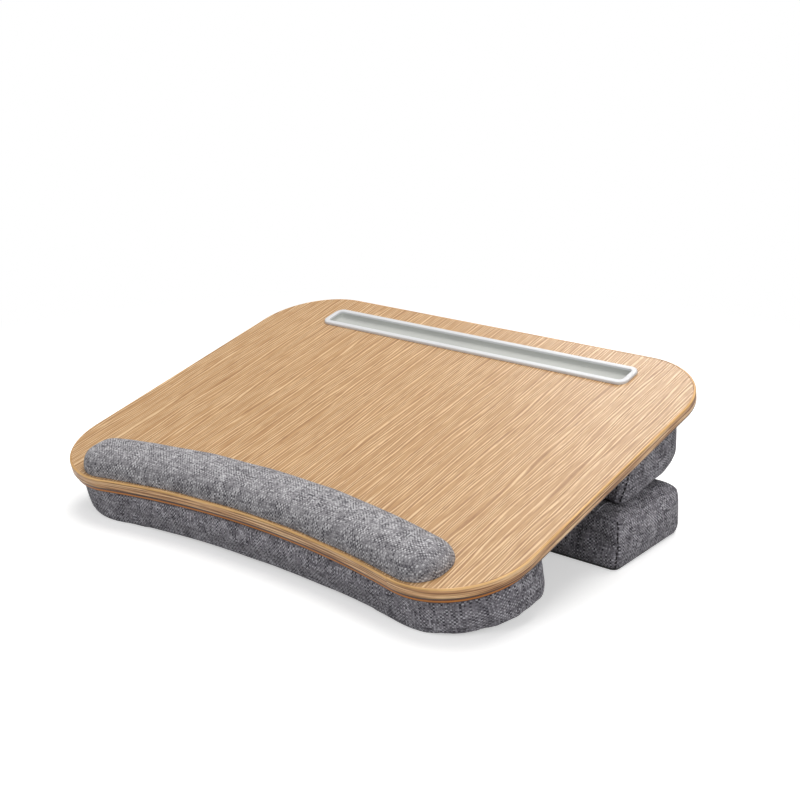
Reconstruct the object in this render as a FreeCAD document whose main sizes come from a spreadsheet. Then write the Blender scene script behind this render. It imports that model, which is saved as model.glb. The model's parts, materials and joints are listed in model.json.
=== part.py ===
"""Cushioned lap desk with a fold-out riser, built as a parametric document.

The wooden board, its base panel, the wrist pad, the tray and the two fixed cushions are drawn
in the desk's own frame: X to the right, Y to the rear, Z square to the board and zero on its
upper face, with Y zero where the two front lobes end. The riser is drawn as it stands on a
table. The desk then leans back on the riser, so its pieces share one tilted placement.
"""
import FreeCAD
import Part
import Sketcher
import math
import os

SIZES = {
    # board
    "board_width": 440.0,
    "board_depth": 340.0,
    "board_front_radius": 63.0,
    "board_rear_radius": 64.0,
    "board_front_hollow": 15.85,
    "board_thickness": 8.2,
    "laminate_thickness": 0.8,
    "band_thickness": 2.0,
    "band_rounding": 1.4,
    # base panel under the board, which carries the cushions
    "base_thickness": 4.0,
    "base_side_inset": 3.5,
    "base_front_inset": 1.5,
    "base_rear_inset": 3.5,
    # screws through the base panel into the board
    "screw_head_diameter": 7.0,
    "screw_head_height": 2.0,
    "screw_shank_diameter": 3.0,
    "screw_length": 9.5,
    "screw_edge_side": 55.0,
    "screw_edge_front": 48.0,
    "screw_edge_rear": 75.0,
    "screw_clearance": 0.1,
    # tray let into the rear of the board
    "tray_length": 318.0,
    "tray_width": 28.0,
    "tray_corner_radius": 8.0,
    "tray_rear_margin": 24.0,
    "tray_rim_width": 4.5,
    "tray_rim_height": 2.5,
    "tray_rim_rounding": 1.8,
    "tray_rim_step": 0.5,
    "tray_skirt_wall": 1.4,
    "tray_recess": 3.5,
    "tray_cup_wall": 1.2,
    # wrist pad along the front edge
    "pad_length": 357.0,
    "pad_front_gap": 2.8,
    "pad_depth": 45.5,
    "pad_height": 17.5,
    "pad_front_radius": 21.8,
    "pad_rear_radius": 21.0,
    "pad_front_hollow": 15.5,
    "pad_rear_bulge": 17.6,
    "pad_crown_radius": 11.0,
    "pad_backing_thickness": 1.5,
    "pad_tape_thickness": 0.6,
    "pad_tape_length": 100.0,
    "pad_tape_width": 18.0,
    "pad_tape_spacing": 150.0,
    # front cushion
    "front_cushion_width": 430.0,
    "front_cushion_gap": 4.5,
    "front_cushion_rear": 88.6,
    "front_cushion_height": 32.5,
    "front_cushion_hollow": 10.0,
    "front_cushion_radius": 62.0,
    "front_cushion_rear_radius": 12.0,
    "front_cushion_rounding": 10.0,
    # rear cushion, a wedge that stands on the riser
    "rear_cushion_width": 426.0,
    "rear_cushion_front": 193.5,
    "rear_cushion_margin": 10.0,
    "rear_cushion_wedge": 11.0,
    "rear_cushion_radius": 78.0,
    "rear_cushion_front_radius": 14.0,
    "rear_cushion_rounding": 9.0,
    # riser, folded under the rear cushion
    "riser_width": 438.0,
    "riser_depth": 99.0,
    "riser_height": 41.0,
    "riser_front": 176.0,
    "riser_corner_radius": 8.0,
    "riser_rounding": 6.5,
    "riser_foot_rounding": 3.0,
    "riser_panel_thickness": 1.5,
    # what the cushions are made of
    "cover_thickness": 1.2,
    "fabric_gap": 0.3,
    # clearance all round what is let into a seat
    "fit_gap": 0.1,
    # hook and loop tapes that hold the riser when it is folded out
    "grip_tape_length": 90.0,
    "grip_tape_width": 25.0,
    "grip_tape_spacing": 240.0,
    "grip_tape_thickness": 1.2,
    # pose of the desk on the table
    "tilt": 13.0,
    # middle of the object's depth, measured once everything is built
    "origin_back": 0.0,
}

# heights in the desk's frame, below the upper face
BOARD_BOTTOM = "sizes.board_thickness"
BASE_BOTTOM = "(sizes.board_thickness + sizes.base_thickness)"

# how high the upper face's front line stands when the front cushion's rounded edge
# touches the table
REST_HEIGHT = (
    f"(({BASE_BOTTOM} + sizes.front_cushion_height - sizes.front_cushion_rounding) * cos(sizes.tilt)"
    " - (sizes.front_cushion_gap + sizes.front_cushion_rounding) * sin(sizes.tilt)"
    " + sizes.front_cushion_rounding)"
)

# how far rounding lifts the rear cushion's front lower edge, between its upright front face
# and its lower face, which rises to the rear
EDGE_LIFT = (
    "(sizes.rear_cushion_rounding * (tan(sizes.tilt - sizes.rear_cushion_wedge)"
    " + 1 / cos(sizes.tilt - sizes.rear_cushion_wedge) - 1))"
)

# depth below the upper face of that edge before rounding: rounded, it stands on the hinge
# strip that lies on the riser
REAR_CUSHION_LOW = (
    f"(({REST_HEIGHT} + sizes.rear_cushion_front * sin(sizes.tilt) + {EDGE_LIFT}"
    " - sizes.riser_height - sizes.cover_thickness - sizes.fabric_gap) / cos(sizes.tilt))"
)

# where that edge is above the table, measured from the desk's front line
REAR_CUSHION_REACH = (
    f"(sizes.rear_cushion_front * cos(sizes.tilt) + {REAR_CUSHION_LOW} * sin(sizes.tilt))"
)

# the layer between a cushion's outside and its foam
LINING = "(sizes.cover_thickness + sizes.fabric_gap)"

# middle of the grip tapes when the riser is folded out against the board
GRIP_LINE = "(sizes.rear_cushion_front - 2 * sizes.fabric_gap - sizes.riser_depth / 2)"


# a flat face whose normal rises this far still looks up or down
SLOPING = 0.9


class Outline:
    """Plan of a piece, symmetric about X zero, with its sizes given as expressions.

    The corners are arcs. An edge with a hollow is one arc that bows into the piece and
    runs on smoothly into the corners. A rear edge with a bulge is one arc that bows out.
    """

    def __init__(self, half, front, rear, front_radius, rear_radius, front_hollow="0", rear_bulge="0"):
        self.half = half
        self.front = front
        self.rear = rear
        self.front_radius = front_radius
        self.rear_radius = rear_radius
        self.front_hollow = front_hollow
        self.rear_bulge = rear_bulge

    def inset(self, by):
        """The same outline, moved inwards by a distance."""
        return Outline(
            f"({self.half} - {by})",
            f"({self.front} + {by})",
            f"({self.rear} - {by})",
            f"({self.front_radius} - {by})",
            f"({self.rear_radius} - {by})",
            self.front_hollow,
            self.rear_bulge,
        )

    @staticmethod
    def hollow_radius(half, radius, hollow):
        """Radius of a hollow edge's arc that touches both corner arcs."""
        return f"((({half}) - ({radius}))^2 - 2 * ({radius}) * ({hollow}) + ({hollow})^2) / (2 * ({hollow}))"

    @staticmethod
    def bulge_radius(half, radius, bulge):
        """Radius of a bulging edge's arc that touches both corner arcs."""
        return f"({radius}) + ((({half}) - ({radius}))^2 + ({bulge})^2) / (2 * ({bulge}))"


class Model:
    """The document, its sheet of sizes and the sub-parts made so far."""

    def __init__(self, sizes):
        self.doc = FreeCAD.newDocument("lap_desk")
        self.sheet = self.doc.addObject("Spreadsheet::Sheet", "sizes")
        self.parts = []
        for row, (name, number) in enumerate(sizes.items(), start=1):
            self.sheet.set(f"A{row}", name)
            self.sheet.set(f"B{row}", str(number))
            self.sheet.setAlias(f"B{row}", name)
        self.doc.recompute()

    def value(self, expression):
        """Number that an expression on the sheet gives."""
        return float(self.sheet.evalExpression(expression))

    def body(self, label, is_part=True):
        """Start a body, which becomes one sub-part or else helps to cut one."""
        body = self.doc.addObject("PartDesign::Body", label)
        body.Label = label
        if is_part:
            self.parts.append(body)
        return body

    def sketch(self, body, name, role, height="0"):
        """Sketch on one of the body's own origin planes, moved along its normal."""
        sketch = body.newObject("Sketcher::SketchObject", name)
        plane = next(f for f in body.Origin.OriginFeatures if f.Role == role)
        sketch.AttachmentSupport = [(plane, "")]
        sketch.MapMode = "FlatFace"
        sketch.setExpression("AttachmentOffset.Base.z", height)
        return sketch

    def pad(self, body, sketch, length, downwards=False, symmetric=False):
        """Pad a sketch by a length along its normal, against it, or half each way."""
        pad = body.newObject("PartDesign::Pad", f"{sketch.Name}_pad")
        pad.Profile = sketch
        pad.setExpression("Length", length)
        pad.Reversed = downwards
        if symmetric:
            pad.SideType = "Symmetric"
        self.doc.recompute()
        return pad

    def pocket(self, body, sketch, depth, upwards=False):
        """Pocket a sketch by a depth against its normal, or along it."""
        before = body.Shape.Volume
        pocket = body.newObject("PartDesign::Pocket", f"{sketch.Name}_pocket")
        pocket.Profile = sketch
        pocket.setExpression("Length", depth)
        pocket.Reversed = upwards
        self.doc.recompute()
        if body.Shape.Volume >= before:
            raise RuntimeError(f"{sketch.Name} cuts nothing")
        return pocket

    def fillet(self, body, feature, edges, radius):
        """Round the named edges of a feature."""
        fillet = body.newObject("PartDesign::Fillet", f"{feature.Name}_round")
        fillet.Base = (feature, edges)
        fillet.setExpression("Radius", radius)
        self.doc.recompute()
        return fillet

    def hollow_out(self, body, feature, open_face, wall):
        """Turn a feature into a shell of the given wall, open at one face."""
        before = feature.Shape.Volume
        shell = body.newObject("PartDesign::Thickness", f"{feature.Name}_shell")
        shell.Base = (feature, [open_face])
        shell.setExpression("Value", wall)
        shell.Reversed = True
        self.doc.recompute()
        if not 0 < shell.Shape.Volume < before:
            raise RuntimeError(f"{feature.Name} wasn't hollowed")
        return shell

    def set_down(self, part, on_table):
        """Place a sub-part: the desk leans on the riser, and the riser stands on the table."""
        if on_table:
            part.setExpression("Placement.Base.y", "sizes.riser_front - sizes.origin_back")
            return
        tilt = self.value("sizes.tilt")
        part.Placement = FreeCAD.Placement(
            FreeCAD.Vector(), FreeCAD.Rotation(FreeCAD.Vector(1, 0, 0), tilt)
        )
        part.setExpression("Placement.Rotation.Angle", "sizes.tilt")
        part.setExpression("Placement.Base.y", "-sizes.origin_back")
        part.setExpression("Placement.Base.z", REST_HEIGHT)


def draw_outline(model, sketch, outline):
    """Draw an outline with arcs and lines that meet smoothly, bound to its expressions."""
    half = model.value(outline.half)
    front = model.value(outline.front)
    rear = model.value(outline.rear)
    front_r = model.value(outline.front_radius)
    rear_r = model.value(outline.rear_radius)
    front_centre = FreeCAD.Vector(half - front_r, front + front_r)
    rear_centre = FreeCAD.Vector(half - rear_r, rear - rear_r)
    up = FreeCAD.Vector(0, 0, 1)

    def arc(centre, radius, start, end):
        circle = Part.Circle(centre, up, radius)
        return sketch.addGeometry(Part.ArcOfCircle(circle, start, end), False)

    def line(x1, y1, x2, y2):
        ends = (FreeCAD.Vector(x1, y1), FreeCAD.Vector(x2, y2))
        return sketch.addGeometry(Part.LineSegment(*ends), False)

    def mirrored(point):
        return FreeCAD.Vector(-point.x, point.y)

    def bind(kind, expression, *where):
        index = sketch.addConstraint(Sketcher.Constraint(kind, *where, model.value(expression)))
        sketch.setExpression(f"Constraints[{index}]", expression)

    start_pos, end_pos, centre_pos = 1, 2, 3
    origin = (-1, start_pos)
    y_axis = -2

    front_arc = Outline.hollow_radius(outline.half, outline.front_radius, outline.front_hollow)
    if outline.front_hollow == "0":
        turn = math.pi / 2
        front_edge = line(front_centre.x, front, -front_centre.x, front)
    else:
        radius = model.value(front_arc)
        centre = FreeCAD.Vector(0, front + model.value(outline.front_hollow) - radius)
        turn = math.atan2(front_centre.y - centre.y, front_centre.x)
        front_edge = arc(centre, radius, turn, math.pi - turn)
    right_front = arc(front_centre, front_r, turn + math.pi, 2 * math.pi)
    right_side = line(half, front_centre.y, half, rear_centre.y)

    rear_arc = Outline.bulge_radius(outline.half, outline.rear_radius, outline.rear_bulge)
    if outline.rear_bulge == "0":
        lean = math.pi / 2
        rear_edge = line(rear_centre.x, rear, -rear_centre.x, rear)
    else:
        radius = model.value(rear_arc)
        centre = FreeCAD.Vector(0, rear + model.value(outline.rear_bulge) - radius)
        lean = math.atan2(rear_centre.y - centre.y, rear_centre.x)
        rear_edge = arc(centre, radius, lean, math.pi - lean)
    right_rear = arc(rear_centre, rear_r, 0, lean)
    left_rear = arc(mirrored(rear_centre), rear_r, math.pi - lean, math.pi)
    left_side = line(-half, rear_centre.y, -half, front_centre.y)
    left_front = arc(mirrored(front_centre), front_r, math.pi, 2 * math.pi - turn)

    joints = (
        (front_edge, start_pos, right_front, start_pos),
        (right_front, end_pos, right_side, start_pos),
        (right_side, end_pos, right_rear, start_pos),
        (right_rear, end_pos, rear_edge, start_pos),
        (rear_edge, end_pos, left_rear, start_pos),
        (left_rear, end_pos, left_side, start_pos),
        (left_side, end_pos, left_front, start_pos),
        (left_front, end_pos, front_edge, end_pos),
    )
    for joint in joints:
        sketch.addConstraint(Sketcher.Constraint("Tangent", *joint))
    sketch.addConstraint(Sketcher.Constraint("Vertical", right_side))
    sketch.addConstraint(Sketcher.Constraint("Symmetric", right_side, start_pos, left_side, end_pos, y_axis))
    sketch.addConstraint(Sketcher.Constraint("Symmetric", right_side, end_pos, left_side, start_pos, y_axis))
    sketch.addConstraint(Sketcher.Constraint("Equal", right_front, left_front))
    sketch.addConstraint(Sketcher.Constraint("Equal", right_rear, left_rear))
    bind("Radius", outline.front_radius, right_front)
    bind("Radius", outline.rear_radius, right_rear)
    bind("DistanceX", outline.half, *origin, right_side, start_pos)
    bind("DistanceY", f"{outline.front} + {outline.front_radius}", *origin, right_front, centre_pos)
    bind("DistanceY", f"{outline.rear} - {outline.rear_radius}", *origin, right_rear, centre_pos)
    if outline.front_hollow != "0":
        bind("Radius", front_arc, front_edge)
    if outline.rear_bulge != "0":
        bind("Radius", rear_arc, rear_edge)


def draw_polygon(model, sketch, corners):
    """Draw a closed polygon whose corners are pairs of expressions."""
    points = [FreeCAD.Vector(model.value(x), model.value(y)) for x, y in corners]
    count = len(points)
    for index in range(count):
        sketch.addGeometry(Part.LineSegment(points[index], points[(index + 1) % count]), False)
    for index in range(count):
        sketch.addConstraint(Sketcher.Constraint("Coincident", index, 2, (index + 1) % count, 1))
    for index, (x, y) in enumerate(corners):
        for kind, expression in (("DistanceX", x), ("DistanceY", y)):
            number = model.value(expression)
            constraint = sketch.addConstraint(Sketcher.Constraint(kind, -1, 1, index, 1, number))
            sketch.setExpression(f"Constraints[{constraint}]", expression)


def outer_face(shape, side):
    """Name of the highest flat face that looks up (side 1), or the lowest that looks down (-1).

    A face that slopes a little, as a wedge's does, counts too.
    """
    found = []
    for index, face in enumerate(shape.Faces, start=1):
        if isinstance(face.Surface, Part.Plane) and face.normalAt(0, 0).z * side > SLOPING:
            found.append((face.CenterOfMass.z * side, f"Face{index}"))
    return max(found)[1]


def edges_of(shape, face_name):
    """Names of the edges round a face."""
    face = shape.getElement(face_name)
    return [
        f"Edge{index}"
        for index, edge in enumerate(shape.Edges, start=1)
        if any(edge.isSame(other) for other in face.Edges)
    ]


def corner_edges(shape, half, rear):
    """Names of the rising edges at both sides, at the rear or at the front."""
    middle = shape.BoundBox.Center.y
    names = []
    for index, edge in enumerate(shape.Edges, start=1):
        box = edge.BoundBox
        at_side = abs(abs(box.Center.x) - half) < 0.01 and box.XLength < 0.01
        rises = box.ZLength > box.YLength
        if at_side and rises and (box.Center.y > middle) == rear:
            names.append(f"Edge{index}")
    return names


BOARD = Outline(
    "(sizes.board_width / 2)",
    "0",
    "sizes.board_depth",
    "sizes.board_front_radius",
    "sizes.board_rear_radius",
    "sizes.board_front_hollow",
)

BASE_PANEL = Outline(
    "(sizes.board_width / 2 - sizes.base_side_inset)",
    "sizes.base_front_inset",
    "(sizes.board_depth - sizes.base_rear_inset)",
    "(sizes.board_front_radius - sizes.base_side_inset)",
    "(sizes.board_rear_radius - sizes.base_side_inset)",
    "sizes.board_front_hollow",
)

TRAY = Outline(
    "(sizes.tray_length / 2)",
    "(sizes.board_depth - sizes.tray_rear_margin - sizes.tray_width)",
    "(sizes.board_depth - sizes.tray_rear_margin)",
    "sizes.tray_corner_radius",
    "sizes.tray_corner_radius",
)

WRIST_PAD = Outline(
    "(sizes.pad_length / 2)",
    "sizes.pad_front_gap",
    "(sizes.pad_front_gap + sizes.pad_depth)",
    "sizes.pad_front_radius",
    "sizes.pad_rear_radius",
    "sizes.pad_front_hollow",
    "sizes.pad_rear_bulge",
)

FRONT_CUSHION = Outline(
    "(sizes.front_cushion_width / 2)",
    "sizes.front_cushion_gap",
    "sizes.front_cushion_rear",
    "sizes.front_cushion_radius",
    "sizes.front_cushion_rear_radius",
    "sizes.front_cushion_hollow",
)

RISER = Outline(
    "(sizes.riser_width / 2)",
    "0",
    "sizes.riser_depth",
    "sizes.riser_corner_radius",
    "sizes.riser_corner_radius",
)


def make_board(model):
    """Core board with its pocket for the tray, laminate on top and band round the edge."""
    plan = BOARD.inset("sizes.band_thickness")
    cut_out = TRAY.inset(
        "(sizes.tray_rim_width - sizes.tray_cup_wall - sizes.tray_skirt_wall - sizes.fit_gap)"
    )

    core = model.body("board_core")
    sketch = model.sketch(core, "core_plan", "XY_Plane", "-sizes.laminate_thickness")
    draw_outline(model, sketch, plan)
    model.pad(core, sketch, "sizes.board_thickness - sizes.laminate_thickness", downwards=True)
    sketch = model.sketch(core, "core_tray_seat", "XY_Plane", "-sizes.laminate_thickness")
    draw_outline(model, sketch, cut_out)
    depth = "sizes.tray_recess + sizes.tray_cup_wall - sizes.laminate_thickness"
    model.pocket(core, sketch, depth)
    sketch = model.sketch(core, "core_pilots", "XY_Plane", f"-{BOARD_BOTTOM}")
    draw_screw_circles(model, sketch, "sizes.screw_shank_diameter + 2 * sizes.screw_clearance")
    depth = "sizes.screw_length - sizes.base_thickness + sizes.screw_clearance"
    model.pocket(core, sketch, depth, upwards=True)

    laminate = model.body("top_laminate")
    sketch = model.sketch(laminate, "laminate_plan", "XY_Plane")
    draw_outline(model, sketch, plan)
    model.pad(laminate, sketch, "sizes.laminate_thickness", downwards=True)
    sketch = model.sketch(laminate, "laminate_cut_out", "XY_Plane")
    draw_outline(model, sketch, cut_out)
    model.pocket(laminate, sketch, "sizes.laminate_thickness")

    band = model.body("edge_band")
    sketch = model.sketch(band, "band_outside", "XY_Plane")
    draw_outline(model, sketch, BOARD)
    block = model.pad(band, sketch, "sizes.board_thickness", downwards=True)
    top_rim = edges_of(block.Shape, outer_face(block.Shape, 1))
    model.fillet(band, block, top_rim, "sizes.band_rounding")
    sketch = model.sketch(band, "band_inside", "XY_Plane")
    draw_outline(model, sketch, plan)
    model.pocket(band, sketch, "sizes.board_thickness")


def screw_places():
    """Pairs of expressions for the screws' X and Y, in a front and a rear row."""
    rows = ("sizes.screw_edge_front", "(sizes.board_depth - sizes.screw_edge_rear)")
    shares = ("-1", "-1 / 3", "1 / 3", "1")
    reach = "(sizes.board_width / 2 - sizes.screw_edge_side)"
    return [(f"({share}) * {reach}", row) for row in rows for share in shares]


def draw_screw_circles(model, sketch, diameter):
    """Draw one circle for each screw."""
    up = FreeCAD.Vector(0, 0, 1)
    for index, (x, y) in enumerate(screw_places()):
        centre = FreeCAD.Vector(model.value(x), model.value(y))
        sketch.addGeometry(Part.Circle(centre, up, model.value(diameter) / 2), False)
        for kind, expression in (("DistanceX", x), ("DistanceY", y)):
            number = model.value(expression)
            constraint = sketch.addConstraint(Sketcher.Constraint(kind, -1, 1, index, 3, number))
            sketch.setExpression(f"Constraints[{constraint}]", expression)
        constraint = sketch.addConstraint(Sketcher.Constraint("Diameter", index, model.value(diameter)))
        sketch.setExpression(f"Constraints[{constraint}]", diameter)


def make_base_panel(model):
    """Thin panel under the board, with counterbored holes for its screws."""
    panel = model.body("base_panel")
    sketch = model.sketch(panel, "base_plan", "XY_Plane", f"-{BOARD_BOTTOM}")
    draw_outline(model, sketch, BASE_PANEL)
    model.pad(panel, sketch, "sizes.base_thickness", downwards=True)
    holes = (
        ("base_screw_holes", "sizes.screw_shank_diameter", "sizes.base_thickness"),
        ("base_counterbores", "sizes.screw_head_diameter", "sizes.screw_head_height"),
    )
    for name, diameter, depth in holes:
        sketch = model.sketch(panel, name, "XY_Plane", f"-{BASE_BOTTOM}")
        draw_screw_circles(model, sketch, f"{diameter} + 2 * sizes.screw_clearance")
        model.pocket(panel, sketch, depth, upwards=True)


def make_screws(model):
    """Flat-headed screws, heads down and flush with the base panel."""
    doc = model.doc
    screws = []
    for index, (x, y) in enumerate(screw_places()):
        head = doc.addObject("Part::Cylinder", f"screw_head_{index}")
        head.setExpression("Radius", "sizes.screw_head_diameter / 2")
        head.setExpression("Height", "sizes.screw_head_height")
        head.setExpression("Placement.Base.z", f"-{BASE_BOTTOM}")
        shank = doc.addObject("Part::Cylinder", f"screw_shank_{index}")
        shank.setExpression("Radius", "sizes.screw_shank_diameter / 2")
        shank.setExpression("Height", "sizes.screw_length - sizes.screw_head_height")
        shank.setExpression("Placement.Base.z", f"sizes.screw_head_height - {BASE_BOTTOM}")
        for piece in (head, shank):
            piece.setExpression("Placement.Base.x", x)
            piece.setExpression("Placement.Base.y", y)
        screw = doc.addObject("Part::Fuse", f"screw_{index}")
        screw.Base = head
        screw.Tool = shank
        screws.append(screw)
    group(model, "panel_screws", screws)


def group(model, label, pieces):
    """Join separate solids into one sub-part."""
    compound = model.doc.addObject("Part::Compound", label)
    compound.Label = label
    compound.Links = pieces
    model.parts.append(compound)
    model.doc.recompute()


def make_tray(model):
    """Rim with a skirt that drops into the board, and the shallow cup inside it."""
    rim_inside = "(sizes.tray_rim_width - sizes.tray_cup_wall)"
    bezel = model.body("tray_bezel")
    sketch = model.sketch(bezel, "bezel_flange", "XY_Plane")
    draw_outline(model, sketch, TRAY)
    flange = model.pad(bezel, sketch, "sizes.tray_rim_height")
    top_rim = edges_of(flange.Shape, outer_face(flange.Shape, 1))
    model.fillet(bezel, flange, top_rim, "sizes.tray_rim_rounding")
    sketch = model.sketch(bezel, "bezel_skirt", "XY_Plane")
    draw_outline(model, sketch, TRAY.inset(f"({rim_inside} - sizes.tray_skirt_wall)"))
    skirt_depth = "sizes.tray_recess + sizes.tray_cup_wall - sizes.fit_gap"
    model.pad(bezel, sketch, skirt_depth, downwards=True)
    sketch = model.sketch(bezel, "bezel_inside", "XY_Plane", "sizes.tray_rim_height")
    draw_outline(model, sketch, TRAY.inset(rim_inside))
    model.pocket(bezel, sketch, f"sizes.tray_rim_height + {skirt_depth}")

    cup = model.body("tray_cup")
    floor = "(sizes.tray_recess + sizes.tray_cup_wall)"
    rim = "(sizes.tray_rim_height - sizes.tray_rim_step)"
    sketch = model.sketch(cup, "cup_plan", "XY_Plane", f"-{floor}")
    draw_outline(model, sketch, TRAY.inset(f"({rim_inside} + sizes.fit_gap)"))
    model.pad(cup, sketch, f"{floor} + {rim}")
    sketch = model.sketch(cup, "cup_hollow", "XY_Plane", rim)
    draw_outline(model, sketch, TRAY.inset("(sizes.tray_rim_width + sizes.fit_gap)"))
    model.pocket(cup, sketch, f"{rim} + sizes.tray_recess")


def padded_block(model, label, outline, seat, height, rounding, downwards=False, is_part=True):
    """Pad a plan away from its seat and round the rim of the far face."""
    body = model.body(label, is_part)
    sketch = model.sketch(body, f"{label}_plan", "XY_Plane", seat)
    draw_outline(model, sketch, outline)
    block = model.pad(body, sketch, height, downwards)
    far_face = outer_face(block.Shape, -1 if downwards else 1)
    rounded = model.fillet(body, block, edges_of(block.Shape, far_face), rounding)
    return body, rounded


def round_foot(model, body, block, rounding):
    """Round the rim of a block's lower face."""
    return model.fillet(body, block, edges_of(block.Shape, outer_face(block.Shape, -1)), rounding)


def open_towards_seat(model, body, rounded, downwards=False):
    """Leave only the cover's cloth, open at the face that lies on the seat."""
    seat_face = outer_face(rounded.Shape, 1 if downwards else -1)
    model.hollow_out(body, rounded, seat_face, "sizes.cover_thickness")


def strips(model, label, length, width, thickness, spacing, y_middle, z_low):
    """Two strips side by side along X, as one sub-part."""
    pair = []
    for side in (-1, 1):
        strip = model.doc.addObject("Part::Box", f"{label}_{'left' if side < 0 else 'right'}")
        strip.setExpression("Length", length)
        strip.setExpression("Width", width)
        strip.setExpression("Height", thickness)
        strip.setExpression("Placement.Base.x", f"{side} * {spacing} / 2 - {length} / 2")
        strip.setExpression("Placement.Base.y", f"{y_middle} - {width} / 2")
        strip.setExpression("Placement.Base.z", z_low)
        pair.append(strip)
    group(model, label, pair)


def make_wrist_pad(model):
    """Crescent pad: adhesive strips, stiff backing, foam and a cloth cover over all."""
    strips(
        model,
        "wrist_pad_tapes",
        "sizes.pad_tape_length",
        "sizes.pad_tape_width",
        "sizes.pad_tape_thickness",
        "sizes.pad_tape_spacing",
        "(sizes.pad_front_gap + sizes.pad_front_hollow"
        " + (sizes.pad_depth + sizes.pad_rear_bulge - sizes.pad_front_hollow) / 2)",
        "0",
    )
    backing_top = "(sizes.pad_tape_thickness + sizes.pad_backing_thickness)"
    backing = model.body("wrist_pad_backing")
    sketch = model.sketch(backing, "backing_plan", "XY_Plane", "sizes.pad_tape_thickness")
    draw_outline(model, sketch, WRIST_PAD.inset(LINING))
    model.pad(backing, sketch, "sizes.pad_backing_thickness")
    padded_block(
        model,
        "wrist_pad_foam",
        WRIST_PAD.inset(LINING),
        backing_top,
        f"sizes.pad_height - {LINING} - {backing_top}",
        f"sizes.pad_crown_radius - {LINING}",
    )
    body, rounded = padded_block(
        model, "wrist_pad_cover", WRIST_PAD, "0", "sizes.pad_height", "sizes.pad_crown_radius"
    )
    open_towards_seat(model, body, rounded)


def make_front_cushion(model):
    """Foam and cover of the cushion along the front, which keeps the board's hollow."""
    seat = f"-{BASE_BOTTOM}"
    padded_block(
        model,
        "front_cushion_foam",
        FRONT_CUSHION.inset(LINING),
        seat,
        f"sizes.front_cushion_height - {LINING}",
        f"sizes.front_cushion_rounding - {LINING}",
        downwards=True,
    )
    body, rounded = padded_block(
        model,
        "front_cushion_cover",
        FRONT_CUSHION,
        seat,
        "sizes.front_cushion_height",
        "sizes.front_cushion_rounding",
        downwards=True,
    )
    open_towards_seat(model, body, rounded, downwards=True)


def wedge_profile(inset):
    """Side view of the rear cushion, moved inwards by a distance, as Y and Z expressions.

    The front face is upright when the desk leans back, and the lower face rises from the
    board by the wedge angle.
    """
    slant = "tan(sizes.rear_cushion_wedge)"
    lean = "tan(sizes.tilt)"
    along_face = f"{inset} / cos(sizes.rear_cushion_wedge)"
    along_front = f"{inset} / cos(sizes.tilt)"
    rise = f"(({along_face} - {along_front} * {slant}) / (1 + {lean} * {slant}))"
    front = "sizes.rear_cushion_front"
    rear = f"(sizes.board_depth - sizes.rear_cushion_margin - {inset})"
    return (
        (f"{front} + {along_front} + {rise} * {lean}", f"-{REAR_CUSHION_LOW} + {rise}"),
        (
            f"{front} + {along_front} + ({REAR_CUSHION_LOW} - {BASE_BOTTOM}) * {lean}",
            f"-{BASE_BOTTOM}",
        ),
        (rear, f"-{BASE_BOTTOM}"),
        (rear, f"-{REAR_CUSHION_LOW} + {along_face} - ({rear} - {front}) * {slant}"),
    )


def wedge_block(model, label, inset):
    """Rear cushion's block: a side view padded across, with its corners and rim rounded."""
    body = model.body(label)
    half = f"(sizes.rear_cushion_width / 2 - {inset})"
    sketch = model.sketch(body, f"{label}_side", "YZ_Plane")
    draw_polygon(model, sketch, wedge_profile(inset))
    block = model.pad(body, sketch, f"2 * {half}", symmetric=True)
    edges = corner_edges(block.Shape, model.value(half), rear=False)
    block = model.fillet(body, block, edges, f"sizes.rear_cushion_front_radius - {inset}")
    edges = corner_edges(block.Shape, model.value(half), rear=True)
    block = model.fillet(body, block, edges, f"sizes.rear_cushion_radius - {inset}")
    rim = edges_of(block.Shape, outer_face(block.Shape, -1))
    return body, model.fillet(body, block, rim, f"sizes.rear_cushion_rounding - {inset}")


def make_rear_cushion(model):
    """Foam and cover of the wedge under the rear of the board."""
    wedge_block(model, "rear_cushion_foam", LINING)
    body, rounded = wedge_block(model, "rear_cushion_cover", "0")
    open_towards_seat(model, body, rounded, downwards=True)


def make_grip_tapes(model):
    """Hook strips under the base panel and loop strips let into the riser's lower panel."""
    tape = ("sizes.grip_tape_length", "sizes.grip_tape_width", "sizes.grip_tape_thickness")
    hooks_low = f"-{BASE_BOTTOM} - sizes.grip_tape_thickness"
    strips(model, "hook_tapes", *tape, "sizes.grip_tape_spacing", GRIP_LINE, hooks_low)
    strips(model, "loop_tapes", *tape, "sizes.grip_tape_spacing", "sizes.riser_depth / 2", "0")


def make_riser_cover(model):
    """Cloth all round the riser, drawn in under its foot and open inside that hem."""
    outside, rounded = padded_block(
        model,
        "riser_outside",
        RISER,
        "0",
        "sizes.riser_height",
        "sizes.riser_rounding",
        is_part=False,
    )
    round_foot(model, outside, rounded, "sizes.riser_foot_rounding")
    wall = "sizes.cover_thickness"
    inside, rounded = padded_block(
        model,
        "riser_inside",
        RISER.inset(wall),
        wall,
        f"sizes.riser_height - 2 * {wall}",
        f"sizes.riser_rounding - {wall}",
        is_part=False,
    )
    round_foot(model, inside, rounded, f"sizes.riser_foot_rounding - {wall}")
    sketch = model.sketch(inside, "riser_opening", "XY_Plane", wall)
    draw_outline(model, sketch, RISER.inset("sizes.riser_foot_rounding"))
    model.pad(inside, sketch, wall, downwards=True)
    cover = model.doc.addObject("Part::Cut", "riser_cover")
    cover.Label = "riser_cover"
    cover.Base = outside
    cover.Tool = inside
    model.parts.append(cover)
    model.doc.recompute()


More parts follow.
